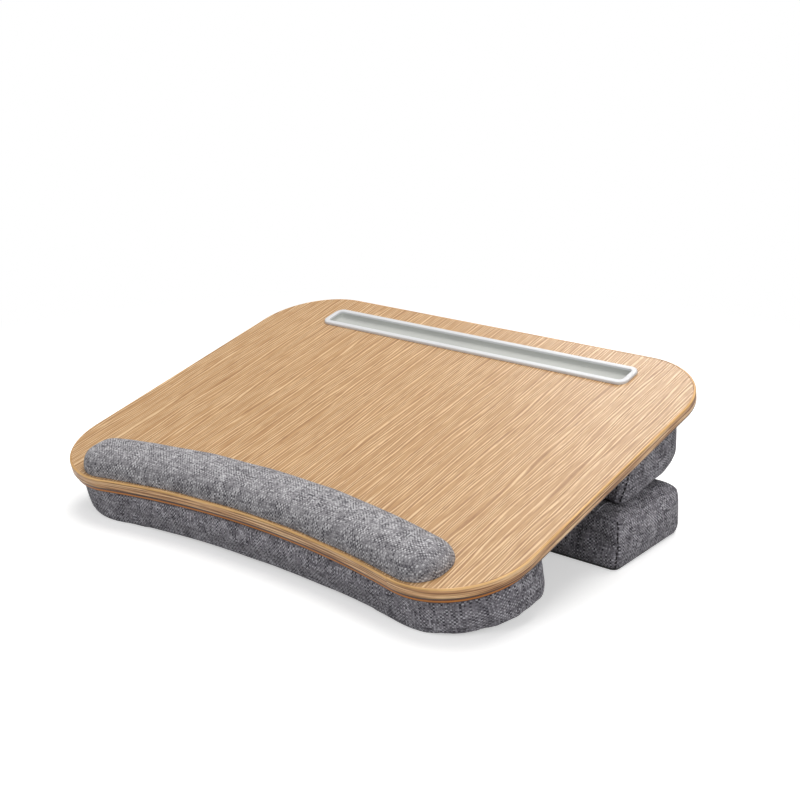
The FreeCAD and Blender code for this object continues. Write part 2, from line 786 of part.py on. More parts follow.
def make_riser(model):
    """Folded riser: cover, foam, lower panel and the cloth strip that hinges it."""
    make_riser_cover(model)
    body, rounded = padded_block(
        model,
        "riser_foam",
        RISER.inset(LINING),
        "sizes.riser_panel_thickness",
        f"sizes.riser_height - sizes.riser_panel_thickness - {LINING}",
        f"sizes.riser_rounding - {LINING}",
    )
    round_foot(model, body, rounded, f"sizes.riser_foot_rounding - {LINING}")

    panel = model.body("riser_panel")
    sketch = model.sketch(panel, "riser_panel_plan", "XY_Plane")
    draw_outline(model, sketch, RISER.inset("(sizes.riser_foot_rounding + sizes.fit_gap)"))
    model.pad(panel, sketch, "sizes.riser_panel_thickness")
    fit = "sizes.fit_gap"
    y_middle = "sizes.riser_depth / 2"
    half_width = f"(sizes.grip_tape_width / 2 + {fit})"
    for side, name in ((-1, "riser_seat_left"), (1, "riser_seat_right")):
        middle = f"({side} * sizes.grip_tape_spacing / 2)"
        half_length = f"(sizes.grip_tape_length / 2 + {fit})"
        sketch = model.sketch(panel, name, "XY_Plane")
        corners = (
            (f"{middle} - {half_length}", f"{y_middle} - {half_width}"),
            (f"{middle} + {half_length}", f"{y_middle} - {half_width}"),
            (f"{middle} + {half_length}", f"{y_middle} + {half_width}"),
            (f"{middle} - {half_length}", f"{y_middle} + {half_width}"),
        )
        draw_polygon(model, sketch, corners)
        model.pocket(panel, sketch, "sizes.grip_tape_thickness", upwards=True)

    hinge = model.doc.addObject("Part::Box", "hinge_cloth")
    half = "(sizes.rear_cushion_width / 2 - sizes.rear_cushion_front_radius)"
    rear = f"({REAR_CUSHION_REACH} - sizes.riser_front + 1.5 * sizes.rear_cushion_rounding)"
    hinge.setExpression("Length", f"2 * {half}")
    hinge.setExpression("Width", f"{rear} - sizes.riser_rounding")
    hinge.setExpression("Height", "sizes.cover_thickness")
    hinge.setExpression("Placement.Base.x", f"-{half}")
    hinge.setExpression("Placement.Base.y", "sizes.riser_rounding")
    hinge.setExpression("Placement.Base.z", "sizes.riser_height")
    group(model, "riser_hinge_strip", [hinge])


ON_TABLE = ("riser_cover", "riser_foam", "riser_panel", "loop_tapes", "riser_hinge_strip")


def set_origin(model):
    """Put the origin at the middle of the object's depth, on the table."""
    boxes = [part.Shape.optimalBoundingBox(False) for part in model.parts]
    middle = (min(box.YMin for box in boxes) + max(box.YMax for box in boxes)) / 2
    model.sheet.set(model.sheet.getCellFromAlias("origin_back"), str(round(middle, 4)))
    model.doc.recompute()


def check(model):
    """Stop if any object of the document failed or any sub-part has no sound shape."""
    for item in model.doc.Objects:
        if {"Invalid", "Error"} & set(item.State):
            raise RuntimeError(f"{item.Label} is {item.State}")
    for part in model.parts:
        if part.Shape.isNull() or not part.Shape.isValid():
            raise RuntimeError(f"{part.Label} has no valid shape")


def main():
    """Build every sub-part and write each to its own STEP file."""
    model = Model(SIZES)
    make_board(model)
    make_base_panel(model)
    make_screws(model)
    make_tray(model)
    make_wrist_pad(model)
    make_front_cushion(model)
    make_rear_cushion(model)
    make_grip_tapes(model)
    make_riser(model)
    for part in model.parts:
        model.set_down(part, part.Label in ON_TABLE)
    model.doc.recompute()
    set_origin(model)
    check(model)
    os.makedirs("parts", exist_ok=True)
    for part in model.parts:
        part.Shape.exportStep(f"parts/{part.Label}.step")
        box = part.Shape.BoundBox
        print(
            f"{part.Label}: {len(part.Shape.Solids)} solid(s),"
            f" {box.XLength:.1f} x {box.YLength:.1f} x {box.ZLength:.1f} mm,"
            f" volume {part.Shape.Volume:.0f} mm3"
        )


main()
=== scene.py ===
"""Lap desk with its cushions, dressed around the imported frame.

The board, its edge band, the base panel and the tray are drawn in the desk's own leaning frame:
X to the right, Y to the rear, Z square to the board and zero on its upper face, with Y zero
where the two front lobes end. The riser is drawn as it stands on the table. Lengths are metres.
"""
from __future__ import annotations

import json
import logging
import math
from collections.abc import Callable
from dataclasses import dataclass
from enum import Enum

import bmesh
import bpy
import numpy as np
from mathutils import Matrix, Vector
from mathutils.bvhtree import BVHTree

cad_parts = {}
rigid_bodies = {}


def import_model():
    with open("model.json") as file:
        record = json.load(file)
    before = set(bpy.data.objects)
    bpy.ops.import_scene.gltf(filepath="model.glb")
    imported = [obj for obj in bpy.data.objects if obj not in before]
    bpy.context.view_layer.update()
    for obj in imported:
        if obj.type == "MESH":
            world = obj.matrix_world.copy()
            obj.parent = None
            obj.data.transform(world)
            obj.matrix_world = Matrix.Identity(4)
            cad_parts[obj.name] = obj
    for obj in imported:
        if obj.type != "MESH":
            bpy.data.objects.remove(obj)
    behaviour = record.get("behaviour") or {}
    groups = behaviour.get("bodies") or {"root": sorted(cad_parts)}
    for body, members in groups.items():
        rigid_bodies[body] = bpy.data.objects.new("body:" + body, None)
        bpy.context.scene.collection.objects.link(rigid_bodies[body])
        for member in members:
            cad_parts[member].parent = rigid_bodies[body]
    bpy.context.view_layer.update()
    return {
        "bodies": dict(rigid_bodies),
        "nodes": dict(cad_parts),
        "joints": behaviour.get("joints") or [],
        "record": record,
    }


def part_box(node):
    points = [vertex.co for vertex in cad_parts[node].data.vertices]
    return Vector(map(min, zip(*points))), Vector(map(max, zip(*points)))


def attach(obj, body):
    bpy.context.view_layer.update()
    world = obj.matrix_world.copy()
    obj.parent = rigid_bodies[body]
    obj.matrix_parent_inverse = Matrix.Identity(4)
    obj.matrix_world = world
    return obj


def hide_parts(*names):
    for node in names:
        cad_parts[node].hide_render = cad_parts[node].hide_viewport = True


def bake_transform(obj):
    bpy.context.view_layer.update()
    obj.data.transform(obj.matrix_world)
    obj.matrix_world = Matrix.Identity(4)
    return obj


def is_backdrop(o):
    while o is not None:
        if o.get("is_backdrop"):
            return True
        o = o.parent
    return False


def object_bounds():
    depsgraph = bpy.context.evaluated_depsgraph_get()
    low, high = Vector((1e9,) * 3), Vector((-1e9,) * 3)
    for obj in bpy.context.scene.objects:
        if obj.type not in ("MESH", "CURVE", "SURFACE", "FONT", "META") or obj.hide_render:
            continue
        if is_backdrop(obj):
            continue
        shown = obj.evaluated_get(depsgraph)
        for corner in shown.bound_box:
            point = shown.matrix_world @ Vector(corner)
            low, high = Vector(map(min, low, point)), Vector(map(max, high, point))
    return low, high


log = logging.getLogger("lap_desk")

Piece = bpy.types.Object
Material = bpy.types.Material
Array = np.ndarray
Colour = tuple[float, float, float, float]
Triple = tuple[float, float, float]
Path = tuple[Triple, ...]
Term = "Wire | float"
Finishes = dict[str, Material]
PointRule = Callable[[Array], Array]

STRIP_MAP = "strip"
# how far behind the desk's front line the record's laptop surface has its point
SURFACE_POINT = 0.175
# height of the base panel's lower face in the desk's frame, where the cushions begin
PANEL_FACE = -0.0122
# what a cushion keeps clear of the panel above it and the table below it
CLEARANCE = 0.0002
# depth over which a cushion's hold by the panel above it fades out
HOLD_DEPTH = 0.006
# below this angle in degrees the cloth is shaded smooth
CLOTH_SHARP = 80.0


def tint(red: float, green: float, blue: float) -> Colour:
    """Linear colour of three display values.

    Args:
        red: Display value from 0 to 255.
        green: Display value from 0 to 255.
        blue: Display value from 0 to 255.

    Returns:
        Linear red, green and blue, and an alpha of one.
    """
    shown = np.array([red, green, blue]) / 255
    linear = np.where(shown <= 0.04045, shown / 12.92, ((shown + 0.055) / 1.055) ** 2.4)
    return (*linear.tolist(), 1.0)


# shader graphs


class Wire:
    """An output socket of a shader graph, whose Python operators stand for Math nodes."""

    def __init__(self, graph: Graph, socket: bpy.types.NodeSocket) -> None:
        """Keep the graph and the socket."""
        self.graph = graph
        self.socket = socket

    def _math(self, operation: str, *terms: Term) -> Wire:
        """A Math node on some terms."""
        return self.graph.node("ShaderNodeMath", {"operation": operation}, dict(enumerate(terms)))

    def __add__(self, other: Term) -> Wire:
        """Sum."""
        return self._math("ADD", self, other)

    __radd__ = __add__

    def __mul__(self, other: Term) -> Wire:
        """Product."""
        return self._math("MULTIPLY", self, other)

    __rmul__ = __mul__

    def __sub__(self, other: Term) -> Wire:
        """Difference."""
        return self._math("SUBTRACT", self, other)

    def __rsub__(self, other: Term) -> Wire:
        """Difference with this wire second."""
        return self._math("SUBTRACT", other, self)

    def __truediv__(self, other: Term) -> Wire:
        """Quotient."""
        return self._math("DIVIDE", self, other)

    def __pow__(self, other: Term) -> Wire:
        """Power."""
        return self._math("POWER", self, other)

    def __abs__(self) -> Wire:
        """Size without its sign."""
        return self._math("ABSOLUTE", self)

    def sine(self) -> Wire:
        """Sine of an angle in radians."""
        return self._math("SINE", self)

    def larger(self, other: Term) -> Wire:
        """The larger of two values."""
        return self._math("MAXIMUM", self, other)

    def rise(self, low: float, high: float) -> Wire:
        """Smooth rise from 0 at one value to 1 at another.

        Args:
            low: Value at which the rise begins.
            high: Value at which it ends.

        Returns:
            The wire after a smooth step.
        """
        sockets = {"Value": self, "From Min": low, "From Max": high}
        smooth = {"interpolation_type": "SMOOTHSTEP"}
        return self.graph.node("ShaderNodeMapRange", smooth, sockets)

    def blend(self, first: Wire | Colour, second: Wire | Colour) -> Wire:
        """Colour that goes from the first to the second as this wire goes from 0 to 1."""
        sockets = {0: self, 6: first, 7: second}
        return self.graph.node("ShaderNodeMix", {"data_type": "RGBA"}, sockets, output=2)


class Graph:
    """The node tree of one material, or of the world."""

    def __init__(self, owner: Material | bpy.types.World | str) -> None:
        """Empty the tree of an owner, or of a new material with a name.

        Args:
            owner: A material or world that exists, or the new material's name.
        """
        self.owner = bpy.data.materials.new(owner) if isinstance(owner, str) else owner
        self.owner.use_nodes = True
        self.tree = self.owner.node_tree
        self.tree.nodes.clear()

    def node(
        self,
        kind: str,
        settings: dict[str, object] | None = None,
        sockets: dict[str | int, object] | None = None,
        output: str | int = 0,
    ) -> Wire:
        """Add a node.

        Args:
            kind: The node's type.
            settings: Its settings, which are set first.
            sockets: Value or link of each of its input sockets.
            output: Which output socket to return.

        Returns:
            A wire from that output.
        """
        node = self.tree.nodes.new(kind)
        for name, value in (settings or {}).items():
            setattr(node, name, value)
        for key, value in (sockets or {}).items():
            if isinstance(value, Wire):
                self.tree.links.new(value.socket, node.inputs[key])
            else:
                node.inputs[key].default_value = value
        return Wire(self, node.outputs[output] if len(node.outputs) else None)

    def place(self) -> Wire:
        """Object coordinates, in metres."""
        return self.node("ShaderNodeTexCoord", output="Object")

    def surface_map(self) -> Wire:
        """The piece's own UV map, in metres along and across its strip."""
        return self.node("ShaderNodeUVMap", {"uv_map": STRIP_MAP})

    def level(self, tilt: float) -> Wire:
        """Object coordinates turned about X, so that what leans by the tilt lies flat."""
        turn = {"Vector": self.place(), "Rotation": (-tilt, 0, 0)}
        return self.node("ShaderNodeMapping", None, turn)

    def scaled(self, vector: Wire, scale: Triple) -> Wire:
        """Coordinates scaled along each axis."""
        return self.node("ShaderNodeMapping", None, {"Vector": vector, "Scale": scale})

    def noise(self, vector: Wire, scale: Triple, detail: float = 2, roughness: float = 0.5) -> Wire:
        """Noise of unit size on coordinates that are scaled first.

        Args:
            vector: The coordinates.
            scale: How many of the noise's units a unit has.
            detail: How many finer layers it has.
            roughness: Share of the finer layers.

        Returns:
            A wire that stays near one half, between 0 and 1.
        """
        sockets = {"Vector": self.scaled(vector, scale), "Scale": 1.0}
        sockets |= {"Detail": detail, "Roughness": roughness}
        return self.node("ShaderNodeTexNoise", {"noise_dimensions": "3D"}, sockets)

    def axes(self, vector: Wire) -> tuple[Wire, Wire, Wire]:
        """The three parts of a vector."""
        split = self.node("ShaderNodeSeparateXYZ", None, {"Vector": vector}).socket.node
        return tuple(Wire(self, split.outputs[name]) for name in "XYZ")

    def bump(self, height: Wire, distance: float, strength: float = 1.0) -> Wire:
        """Normal bent by a height map of the given depth in metres."""
        sockets = {"Height": height, "Distance": distance, "Strength": strength}
        return self.node("ShaderNodeBump", None, sockets)

    def finish(self, **sockets: object) -> Material:
        """End in one Principled shader.

        Args:
            sockets: Its sockets, with underscores for the spaces in their names.

        Returns:
            The finished material.
        """
        named = {key.replace("_", " "): value for key, value in sockets.items()}
        shader = self.node("ShaderNodeBsdfPrincipled", None, named)
        self.node("ShaderNodeOutputMaterial", None, {"Surface": shader})
        return self.owner


# finishes


@dataclass(frozen=True)
class OakSheet:
    """Oak-grained laminate: straight pale and dark fibres that run front to back.

    Two sine waves across the fibres, of unlike pitch and bent by slow noise, are the grain's
    lines, and noise stretched along the fibres breaks them up. The upper and lower values
    are the pale and the dark lines. Finer noise cut higher gives the pores.
    """

    name: str
    pale: Colour
    body: Colour
    pore: Colour
    tilt: float
    pitches: tuple[float, float] = (0.0022, 0.003)
    sway: float = 22.0
    sway_scale: tuple[float, float] = (120, 9)
    broken_scale: Triple = (750, 40, 1)
    pore_scale: Triple = (1500, 110, 3)
    broad_scale: Triple = (40, 4, 1)
    relief: float = 0.00014
    gloss: float = 0.36

    def material(self) -> Material:
        """Make the material.

        Returns:
            The finished material.
        """
        graph = Graph(self.name)
        place = graph.level(self.tilt)
        across, _, _ = graph.axes(graph.place())
        lines: Term = 0.0
        for index, pitch in enumerate(self.pitches, 1):
            sway = graph.noise(place, (*self.sway_scale, index), 1)
            wave = (across * (2 * math.pi / pitch) + sway * self.sway).sine()
            lines = wave * 0.5 + lines
        broken = graph.noise(place, self.broken_scale, 1) - 0.5
        pores = graph.noise(place, self.pore_scale, 0)
        broad = graph.noise(place, self.broad_scale, 2, 0.55)
        tone = lines * 0.55 + broken * 0.95
        base = (broad.rise(0.3, 0.7) * 0.1).blend(self.body, self.pore)
        base = tone.rise(0.0, 0.42).blend(base, self.pale)
        marks = (1 - tone.rise(-0.5, -0.04)) * 0.55 + pores.rise(0.58, 0.72) * 0.25
        return graph.finish(
            Base_Color=marks.blend(base, self.pore),
            Roughness=self.gloss + 0.12 * marks,
            Normal=graph.bump(tone * 0.5 - marks, self.relief, 0.6),
            Coat_Weight=0.15,
            Coat_Roughness=0.28,
        )


@dataclass(frozen=True)
class EdgeWood:
    """Wood edge whose fibres follow the strip, with a painted highlight along its arris and a
    painted shadow at its foot.
    """

    name: str
    dark: Colour
    mid: Colour
    pale: Colour
    # colour of the painted highlight along the arris
    rim: Colour
    # colour of the painted shadow at the foot, on the edge band partly a dark glue line
    gap: Colour
    arris: float
    foot: float
    width: float = 0.0011
    highlight_share: float = 0.6
    fibre_scale: Triple = (16, 820, 1)
    short_scale: Triple = (70, 1300, 1)
    broad_scale: Triple = (9, 160, 1)
    foot_fade: float = 0.0005
    relief: float = 0.00012
    gloss: float = 0.42

    def material(self) -> Material:
        """Make the material.

        Returns:
            The finished material.
        """
        graph = Graph(self.name)
        along = graph.surface_map()
        fibre = graph.noise(along, self.fibre_scale, 1)
        short = graph.noise(along, self.short_scale, 1)
        broad = graph.noise(along, self.broad_scale, 1)
        dark = fibre.rise(0.5, 0.62) * 0.75 + short.rise(0.54, 0.68) * 0.35
        colour = (1 - fibre.rise(0.38, 0.5)).blend(self.mid, self.pale)
        colour = (dark + broad.rise(0.45, 0.7) * 0.15).blend(colour, self.dark)
        _, height, _ = graph.axes(along)
        # painted highlight: a line of the rim colour at the arris height
        line = 1 - abs(height - self.arris).rise(self.width * 0.45, self.width)
        colour = (line * (self.highlight_share + 0.5 * (short - 0.4))).blend(colour, self.rim)
        # painted shadow: the gap colour below the foot height
        foot = (1 - height.rise(self.foot, self.foot + self.foot_fade)) * 0.9
        return graph.finish(
            Base_Color=foot.blend(colour, self.gap),
            Roughness=self.gloss + 0.15 * dark,
            Normal=graph.bump(1 - dark, self.relief, 0.6),
        )


@dataclass(frozen=True)
class Linen:
    """Heathered linen cloth: a plain weave of yarns that each have a tone of their own.

    Places are counted in yarns. On a face square to one axis the yarns run along the other
    two. A yarn's number is its place across, rounded down, and its tone is noise that is
    stretched along the yarn and taken at a spot that the number picks. Where the product of
    the sines of pi times both places is above zero the first yarn is on top, and elsewhere
    the second. Between faces the tones blend by the fourth power of the normal's parts.
    """

    name: str
    dark: Colour
    mid: Colour
    light: Colour
    tilt: float = 0.0
    yarn: float = 0.00135
    stretch: float = 0.17
    step: float = 7.31
    waver: float = 3.0
    waver_pace: float = 0.05
    fuzz_pace: float = 2.3
    cloud_pace: float = 0.09
    relief: float = 0.00025

    def face(
        self, graph: Graph, places: tuple[Wire, ...], numbers: tuple[Wire, ...], side: int
    ) -> tuple[Wire, Wire]:
        """Tone and height of the weave on the faces square to one axis.

        Args:
            graph: The material's graph.
            places: The three places, in yarns.
            numbers: The three places rounded down.
            side: Which axis the faces are square to.

        Returns:
            The tone about one half, and the height from 0 to 1.
        """
        first, second = (axis for axis in range(3) if axis != side)
        tones = []
        for along, across in ((first, second), (second, first)):
            spot = {0: places[along] * self.stretch, 1: numbers[across] * self.step + side}
            spot[2] = 3.7 * along + side
            place = graph.node("ShaderNodeCombineXYZ", None, spot)
            tones.append(graph.noise(place, (1, 1, 1), 1, 0.6))
        waves = [(places[axis] * math.pi).sine() for axis in (first, second)]
        cross = waves[0] * waves[1]
        over = cross.rise(-0.2, 0.2)
        raised = abs(cross) ** 0.5
        # painted light in the weave: the yarn on top and the raised middles of the yarns are
        # painted lighter, and the gaps between yarns darker as painted shade
        tone = tones[1] + (tones[0] - tones[1]) * over + (over - 0.5) * 0.16 + raised * 0.12
        return tone, raised

    def material(self) -> Material:
        """Make the material.

        Returns:
            The finished material.
        """
        graph = Graph(self.name)
        straight = graph.scaled(graph.level(self.tilt), (1 / self.yarn,) * 3)
        waver = graph.noise(straight, (self.waver_pace,) * 3, 1)
        terms = {0: waver, 1: (self.waver,) * 3, 2: straight}
        bent = graph.node("ShaderNodeVectorMath", {"operation": "MULTIPLY_ADD"}, terms)
        places = graph.axes(bent)
        numbers = graph.axes(graph.node("ShaderNodeVectorMath", {"operation": "FLOOR"}, {0: bent}))
        facing = graph.node("ShaderNodeTexCoord", output="Normal")
        tone: Term = 0.0
        height: Term = 0.0
        total: Term = 0.0001
        for side, part in enumerate(graph.axes(facing)):
            weight = part**4.0
            own, raised = self.face(graph, places, numbers, side)
            tone = own * weight + tone
            height = raised * weight + height
            total = weight + total
        fuzz = graph.noise(straight, (self.fuzz_pace,) * 3, 1, 0.6) - 0.5
        cloud = graph.noise(straight, (self.cloud_pace,) * 3) - 0.5
        tone = tone / total - 0.58 + fuzz * 0.35 + cloud * 0.06
        colour = tone.rise(-0.02, 0.24).blend(self.mid, self.light)
        # the dark colour marks darker yarns and also the painted shade in the weave's gaps
        shadow = 1 - tone.rise(-0.24, 0.0)
        return graph.finish(
            Base_Color=shadow.blend(colour, self.dark),
            Roughness=0.86 + 0.1 * shadow,
            Normal=graph.bump(height / total + tone, self.relief, 0.7),
            Sheen_Weight=0.1,
            Sheen_Roughness=0.5,
            Specular_IOR_Level=0.2,
        )


@dataclass(frozen=True)
class Moulding:
    """Moulded plastic with a faint fine grain and slow changes of gloss."""

    name: str
    colour: Colour
    shade: Colour
    gloss: float
    grain: float = 0.00003
    fine_scale: float = 2600
    slow_scale: float = 24

    def material(self) -> Material:
        """Make the material.

        Returns:
            The finished material.
        """
        graph = Graph(self.name)
        place = graph.place()
        fine = graph.noise(place, (self.fine_scale,) * 3)
        slow = graph.noise(place, (self.slow_scale,) * 3)
        return graph.finish(
            Base_Color=(slow.rise(0.3, 0.75) * 0.3).blend(self.colour, self.shade),
            Roughness=self.gloss + 0.1 * slow,
            Normal=graph.bump(fine, self.grain, 0.6),
        )


@dataclass(frozen=True)
class Fibreboard:
    """Raw pressed fibreboard: short chips in two tones."""

    name: str
    colour: Colour
    chip: Colour
    chip_scale: Triple = (420, 700, 1500)
    relief: float = 0.0002

    def material(self) -> Material:
        """Make the material.

        Returns:
            The finished material.
        """
        graph = Graph(self.name)
        chips = graph.noise(graph.place(), self.chip_scale, 3, 0.7)
        return graph.finish(
            Base_Color=chips.rise(0.4, 0.66).blend(self.colour, self.chip),
            Roughness=0.9,
            Normal=graph.bump(chips, self.relief, 0.5),
        )


@dataclass(frozen=True)
class GripTape:
    """Hook or loop tape: dense tufts with darker gaps between them."""

    name: str
    colour: Colour
    tuft: Colour
    pitch: float = 0.0016
    relief: float = 0.0006

    def material(self) -> Material:
        """Make the material.

        Returns:
            The finished material.
        """
        graph = Graph(self.name)
        spots = graph.scaled(graph.place(), (1 / self.pitch,) * 3)
        sockets = {"Vector": spots, "Scale": 1.0}
        cells = graph.node("ShaderNodeTexVoronoi", {"feature": "F1"}, sockets)
        tufts = 1 - cells.rise(0.15, 0.6)
        return graph.finish(
            Base_Color=tufts.blend(self.colour, self.tuft),
            Roughness=0.8,
            Normal=graph.bump(tufts, self.relief, 0.8),
        )


@dataclass(frozen=True)
class Zinc:
    """Zinc-plated steel with fine turned marks."""

    name: str
    colour: Colour
    mark_scale: Triple = (900, 900, 3000)
    relief: float = 0.00004

    def material(self) -> Material:
        """Make the material.

        Returns:
            The finished material.
        """
        graph = Graph(self.name)
        marks = graph.noise(graph.place(), self.mark_scale)
        return graph.finish(
            Base_Color=self.colour,
            Metallic=1.0,
            Roughness=0.28 + 0.25 * marks,
            Normal=graph.bump(marks, self.relief, 0.5),
        )


# places


@dataclass(frozen=True)
class Lean:
    """The desk's leaning frame inside the row frame."""

    tilt: float
    rear: float
    rise: float

    @classmethod
    def from_record(cls, record: dict) -> Lean:
        """Read the lean from the record's laptop surface, a point and normal on the board.

        Args:
            record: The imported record.

        Returns:
            The frame, with its tilt in radians and the place of its origin.
        """
        surface = next(m for m in record["mounts"] if m["name"] == "laptop_surface")
        tilt = math.atan2(-surface["axis"][1], surface["axis"][2])
        _, y, z = surface["pos_m"]
        behind, above = SURFACE_POINT * math.cos(tilt), SURFACE_POINT * math.sin(tilt)
        return cls(tilt, y - behind, z - above)

    def place(self, points: Array) -> Array:
        """Points of the desk's frame, in the row frame.

        Args:
            points: Points, one in each last row.

        Returns:
            The same points.
        """
        cos, sin = math.cos(self.tilt), math.sin(self.tilt)
        x, y, z = np.moveaxis(points, -1, 0)
        return np.stack([x, y * cos - z * sin + self.rear, y * sin + z * cos + self.rise], -1)

    def undo(self, points: Array) -> Array:
        """Points of the row frame, in the desk's frame.

        Args:
            points: Points, one in each last row.

        Returns:
            The same points.
        """
        cos, sin = math.cos(self.tilt), math.sin(self.tilt)
        x, y, z = np.moveaxis(points - np.array([0, self.rear, self.rise]), -1, 0)
        return np.stack([x, y * cos + z * sin, z * cos - y * sin], -1)


@dataclass(frozen=True)
class Rim:
    """Points round an outline, counterclockwise, with their outward normals and distances."""

    points: Array
    normals: Array
    along: Array
    length: float


@dataclass(frozen=True)
class Plan:
    """Outline seen from above, symmetric about X zero.

    Its corners are arcs. A front edge with a hollow is one arc that bows inwards, and a rear
    edge with a bulge one that bows outwards. Both run on smoothly into the corners.
    """

    half: float
    front: float
    rear: float
    front_radius: float
    rear_radius: float
    front_hollow: float = 0.0
    rear_bulge: float = 0.0

    def rim(self, spacing: float) -> Rim:
        """Points round the outline.

        Each stretch is an arc, centre + radius (cos a, sin a) with the angle a going evenly
        from one end to the other, or a straight line. An edge that bows touches the corner
        arcs, which gives its radius, ((half - r)^2 + b^2) / 2b less or more the corners' r.

        Args:
            spacing: Greatest distance between points.

        Returns:
            The rim.
        """
        front, rear = self.front_radius, self.rear_radius
        fx, fy = self.half - front, self.front + front
        rx, ry = self.half - rear, self.rear - rear
        half_turn = math.pi
        stretches: list[tuple[Array, Array]] = []

        def arc(x: float, y: float, radius: float, start: float, end: float, side: int) -> None:
            """Add an arc whose normals point from its centre, or to it with a side of -1."""
            count = max(2, math.ceil(abs(end - start) * radius / spacing))
            angles = np.linspace(start, end, count, endpoint=False)
            radial = np.stack([np.cos(angles), np.sin(angles)], -1)
            stretches.append((np.array([x, y]) + radius * radial, side * radial))

        def line(x1: float, y1: float, x2: float, y2: float) -> None:
            """Add a straight line with its normals on its right."""
            length = math.hypot(x2 - x1, y2 - y1)
            share = np.linspace(0, 1, max(2, math.ceil(length / spacing)), endpoint=False)[:, None]
            points = np.array([x1, y1]) * (1 - share) + np.array([x2, y2]) * share
            normal = np.array([y2 - y1, x1 - x2]) / length
            stretches.append((points, np.broadcast_to(normal, points.shape)))

        turn = lean = half_turn / 2
        if self.front_hollow:
            bow = self.front_hollow
            front_arc = (fx**2 - 2 * front * bow + bow**2) / (2 * bow)
            front_y = self.front + bow - front_arc
            turn = math.atan2(fy - front_y, fx)
        if self.rear_bulge:
            bow = self.rear_bulge
            rear_arc = rear + (rx**2 + bow**2) / (2 * bow)
            rear_y = self.rear + bow - rear_arc
            lean = math.atan2(ry - rear_y, rx)
        arc(fx, fy, front, turn + half_turn, 2 * half_turn, 1)
        line(self.half, fy, self.half, ry)
        arc(rx, ry, rear, 0, lean, 1)
        if self.rear_bulge:
            arc(0, rear_y, rear_arc, lean, half_turn - lean, 1)
        else:
            line(rx, self.rear, -rx, self.rear)
        arc(-rx, ry, rear, half_turn - lean, half_turn, 1)
        line(-self.half, ry, -self.half, fy)
        arc(-fx, fy, front, half_turn, 2 * half_turn - turn, 1)
        if self.front_hollow:
            arc(0, front_y, front_arc, half_turn - turn, turn, -1)
        else:
            line(-fx, self.front, fx, self.front)
        points, normals = (np.concatenate(parts) for parts in zip(*stretches))
        steps = np.linalg.norm(np.roll(points, -1, 0) - points, axis=1)
        return Rim(points, normals, np.concatenate([[0], np.cumsum(steps)[:-1]]), steps.sum())


def bend(
    start: tuple[float, float], end: tuple[float, float], steps: int, hollow: bool = False
) -> Array:
    """Quarter of an ellipse between two points of a profile.

    Args:
        start: Inset and height where it begins, running along the height.
        end: Inset and height where it ends, running along the inset.
        steps: How many points it has.
        hollow: True if it runs along the inset first and the height last.

    Returns:
        The points as insets and heights.
    """
    angle = np.linspace(0, math.pi / 2, steps)
    share = np.stack([1 - np.cos(angle), np.sin(angle)], -1)
    if hollow:
        share = share[:, ::-1]
    return np.array(start) + share * (np.array(end) - np.array(start))


def quarter(steps: int) -> tuple[Array, Array]:
    """Insets and drops of a quarter circle's points, as shares of its radius."""
    angle = np.linspace(0, math.pi / 2, steps)
    return 1 - np.cos(angle), 1 - np.sin(angle)


# meshes


def quad_grid(
    rows: int, columns: int, closed_rows: bool = False, closed_columns: bool = False
) -> Array:
    """Quads between the points of a grid.

    Args:
        rows: How many rows of points there are.
        columns: How many points a row has.
        closed_rows: True if the last row joins the first.
        closed_columns: True if the last point of a row joins its first.

    Returns:
        The four point numbers of each quad, row by row.
    """
    spans = np.arange(rows - (not closed_rows)), np.arange(columns - (not closed_columns))
    row, column = np.meshgrid(*spans, indexing="ij")
    corners = [(0, 0), (1, 0), (1, 1), (0, 1)]
    numbers = [(row + i) % rows * columns + (column + j) % columns for i, j in corners]
    return np.stack(numbers, -1).reshape(-1, 4)


def new_piece(name: str, vertices: Array, faces: list[list[int]]) -> Piece:
    """Object at the origin with the given mesh.

    Args:
        name: The piece's name.
        vertices: Its points, in rows or in a grid.
        faces: The point numbers of each face.

    Returns:
        The piece, linked to the scene.
    """
    mesh = bpy.data.meshes.new(name)
    mesh.from_pydata(vertices.reshape(-1, 3).tolist(), [], faces)
    mesh.validate()
    piece = bpy.data.objects.new(name, mesh)
    bpy.context.scene.collection.objects.link(piece)
    return piece


def shade(piece: Piece, sharp: float = 40.0) -> Piece:
    """Smooth shading that breaks at edges sharper than an angle in degrees.

    Args:
        piece: The piece.
        sharp: The angle.

    Returns:
        The same piece.
    """
    mesh = piece.data
    mesh.polygons.foreach_set("use_smooth", np.ones(len(mesh.polygons), dtype=bool))
    mesh.set_sharp_from_angle(angle=math.radians(sharp))
    mesh.update()
    return piece


def face_outwards(piece: Piece) -> Piece:
    """Turn the faces of a closed mesh outwards.

    Args:
        piece: The closed piece.

    Returns:
        The same piece.
    """
    work = bmesh.new()
    work.from_mesh(piece.data)
    bmesh.ops.recalc_face_normals(work, faces=work.faces)
    work.to_mesh(piece.data)
    work.free()
    return piece


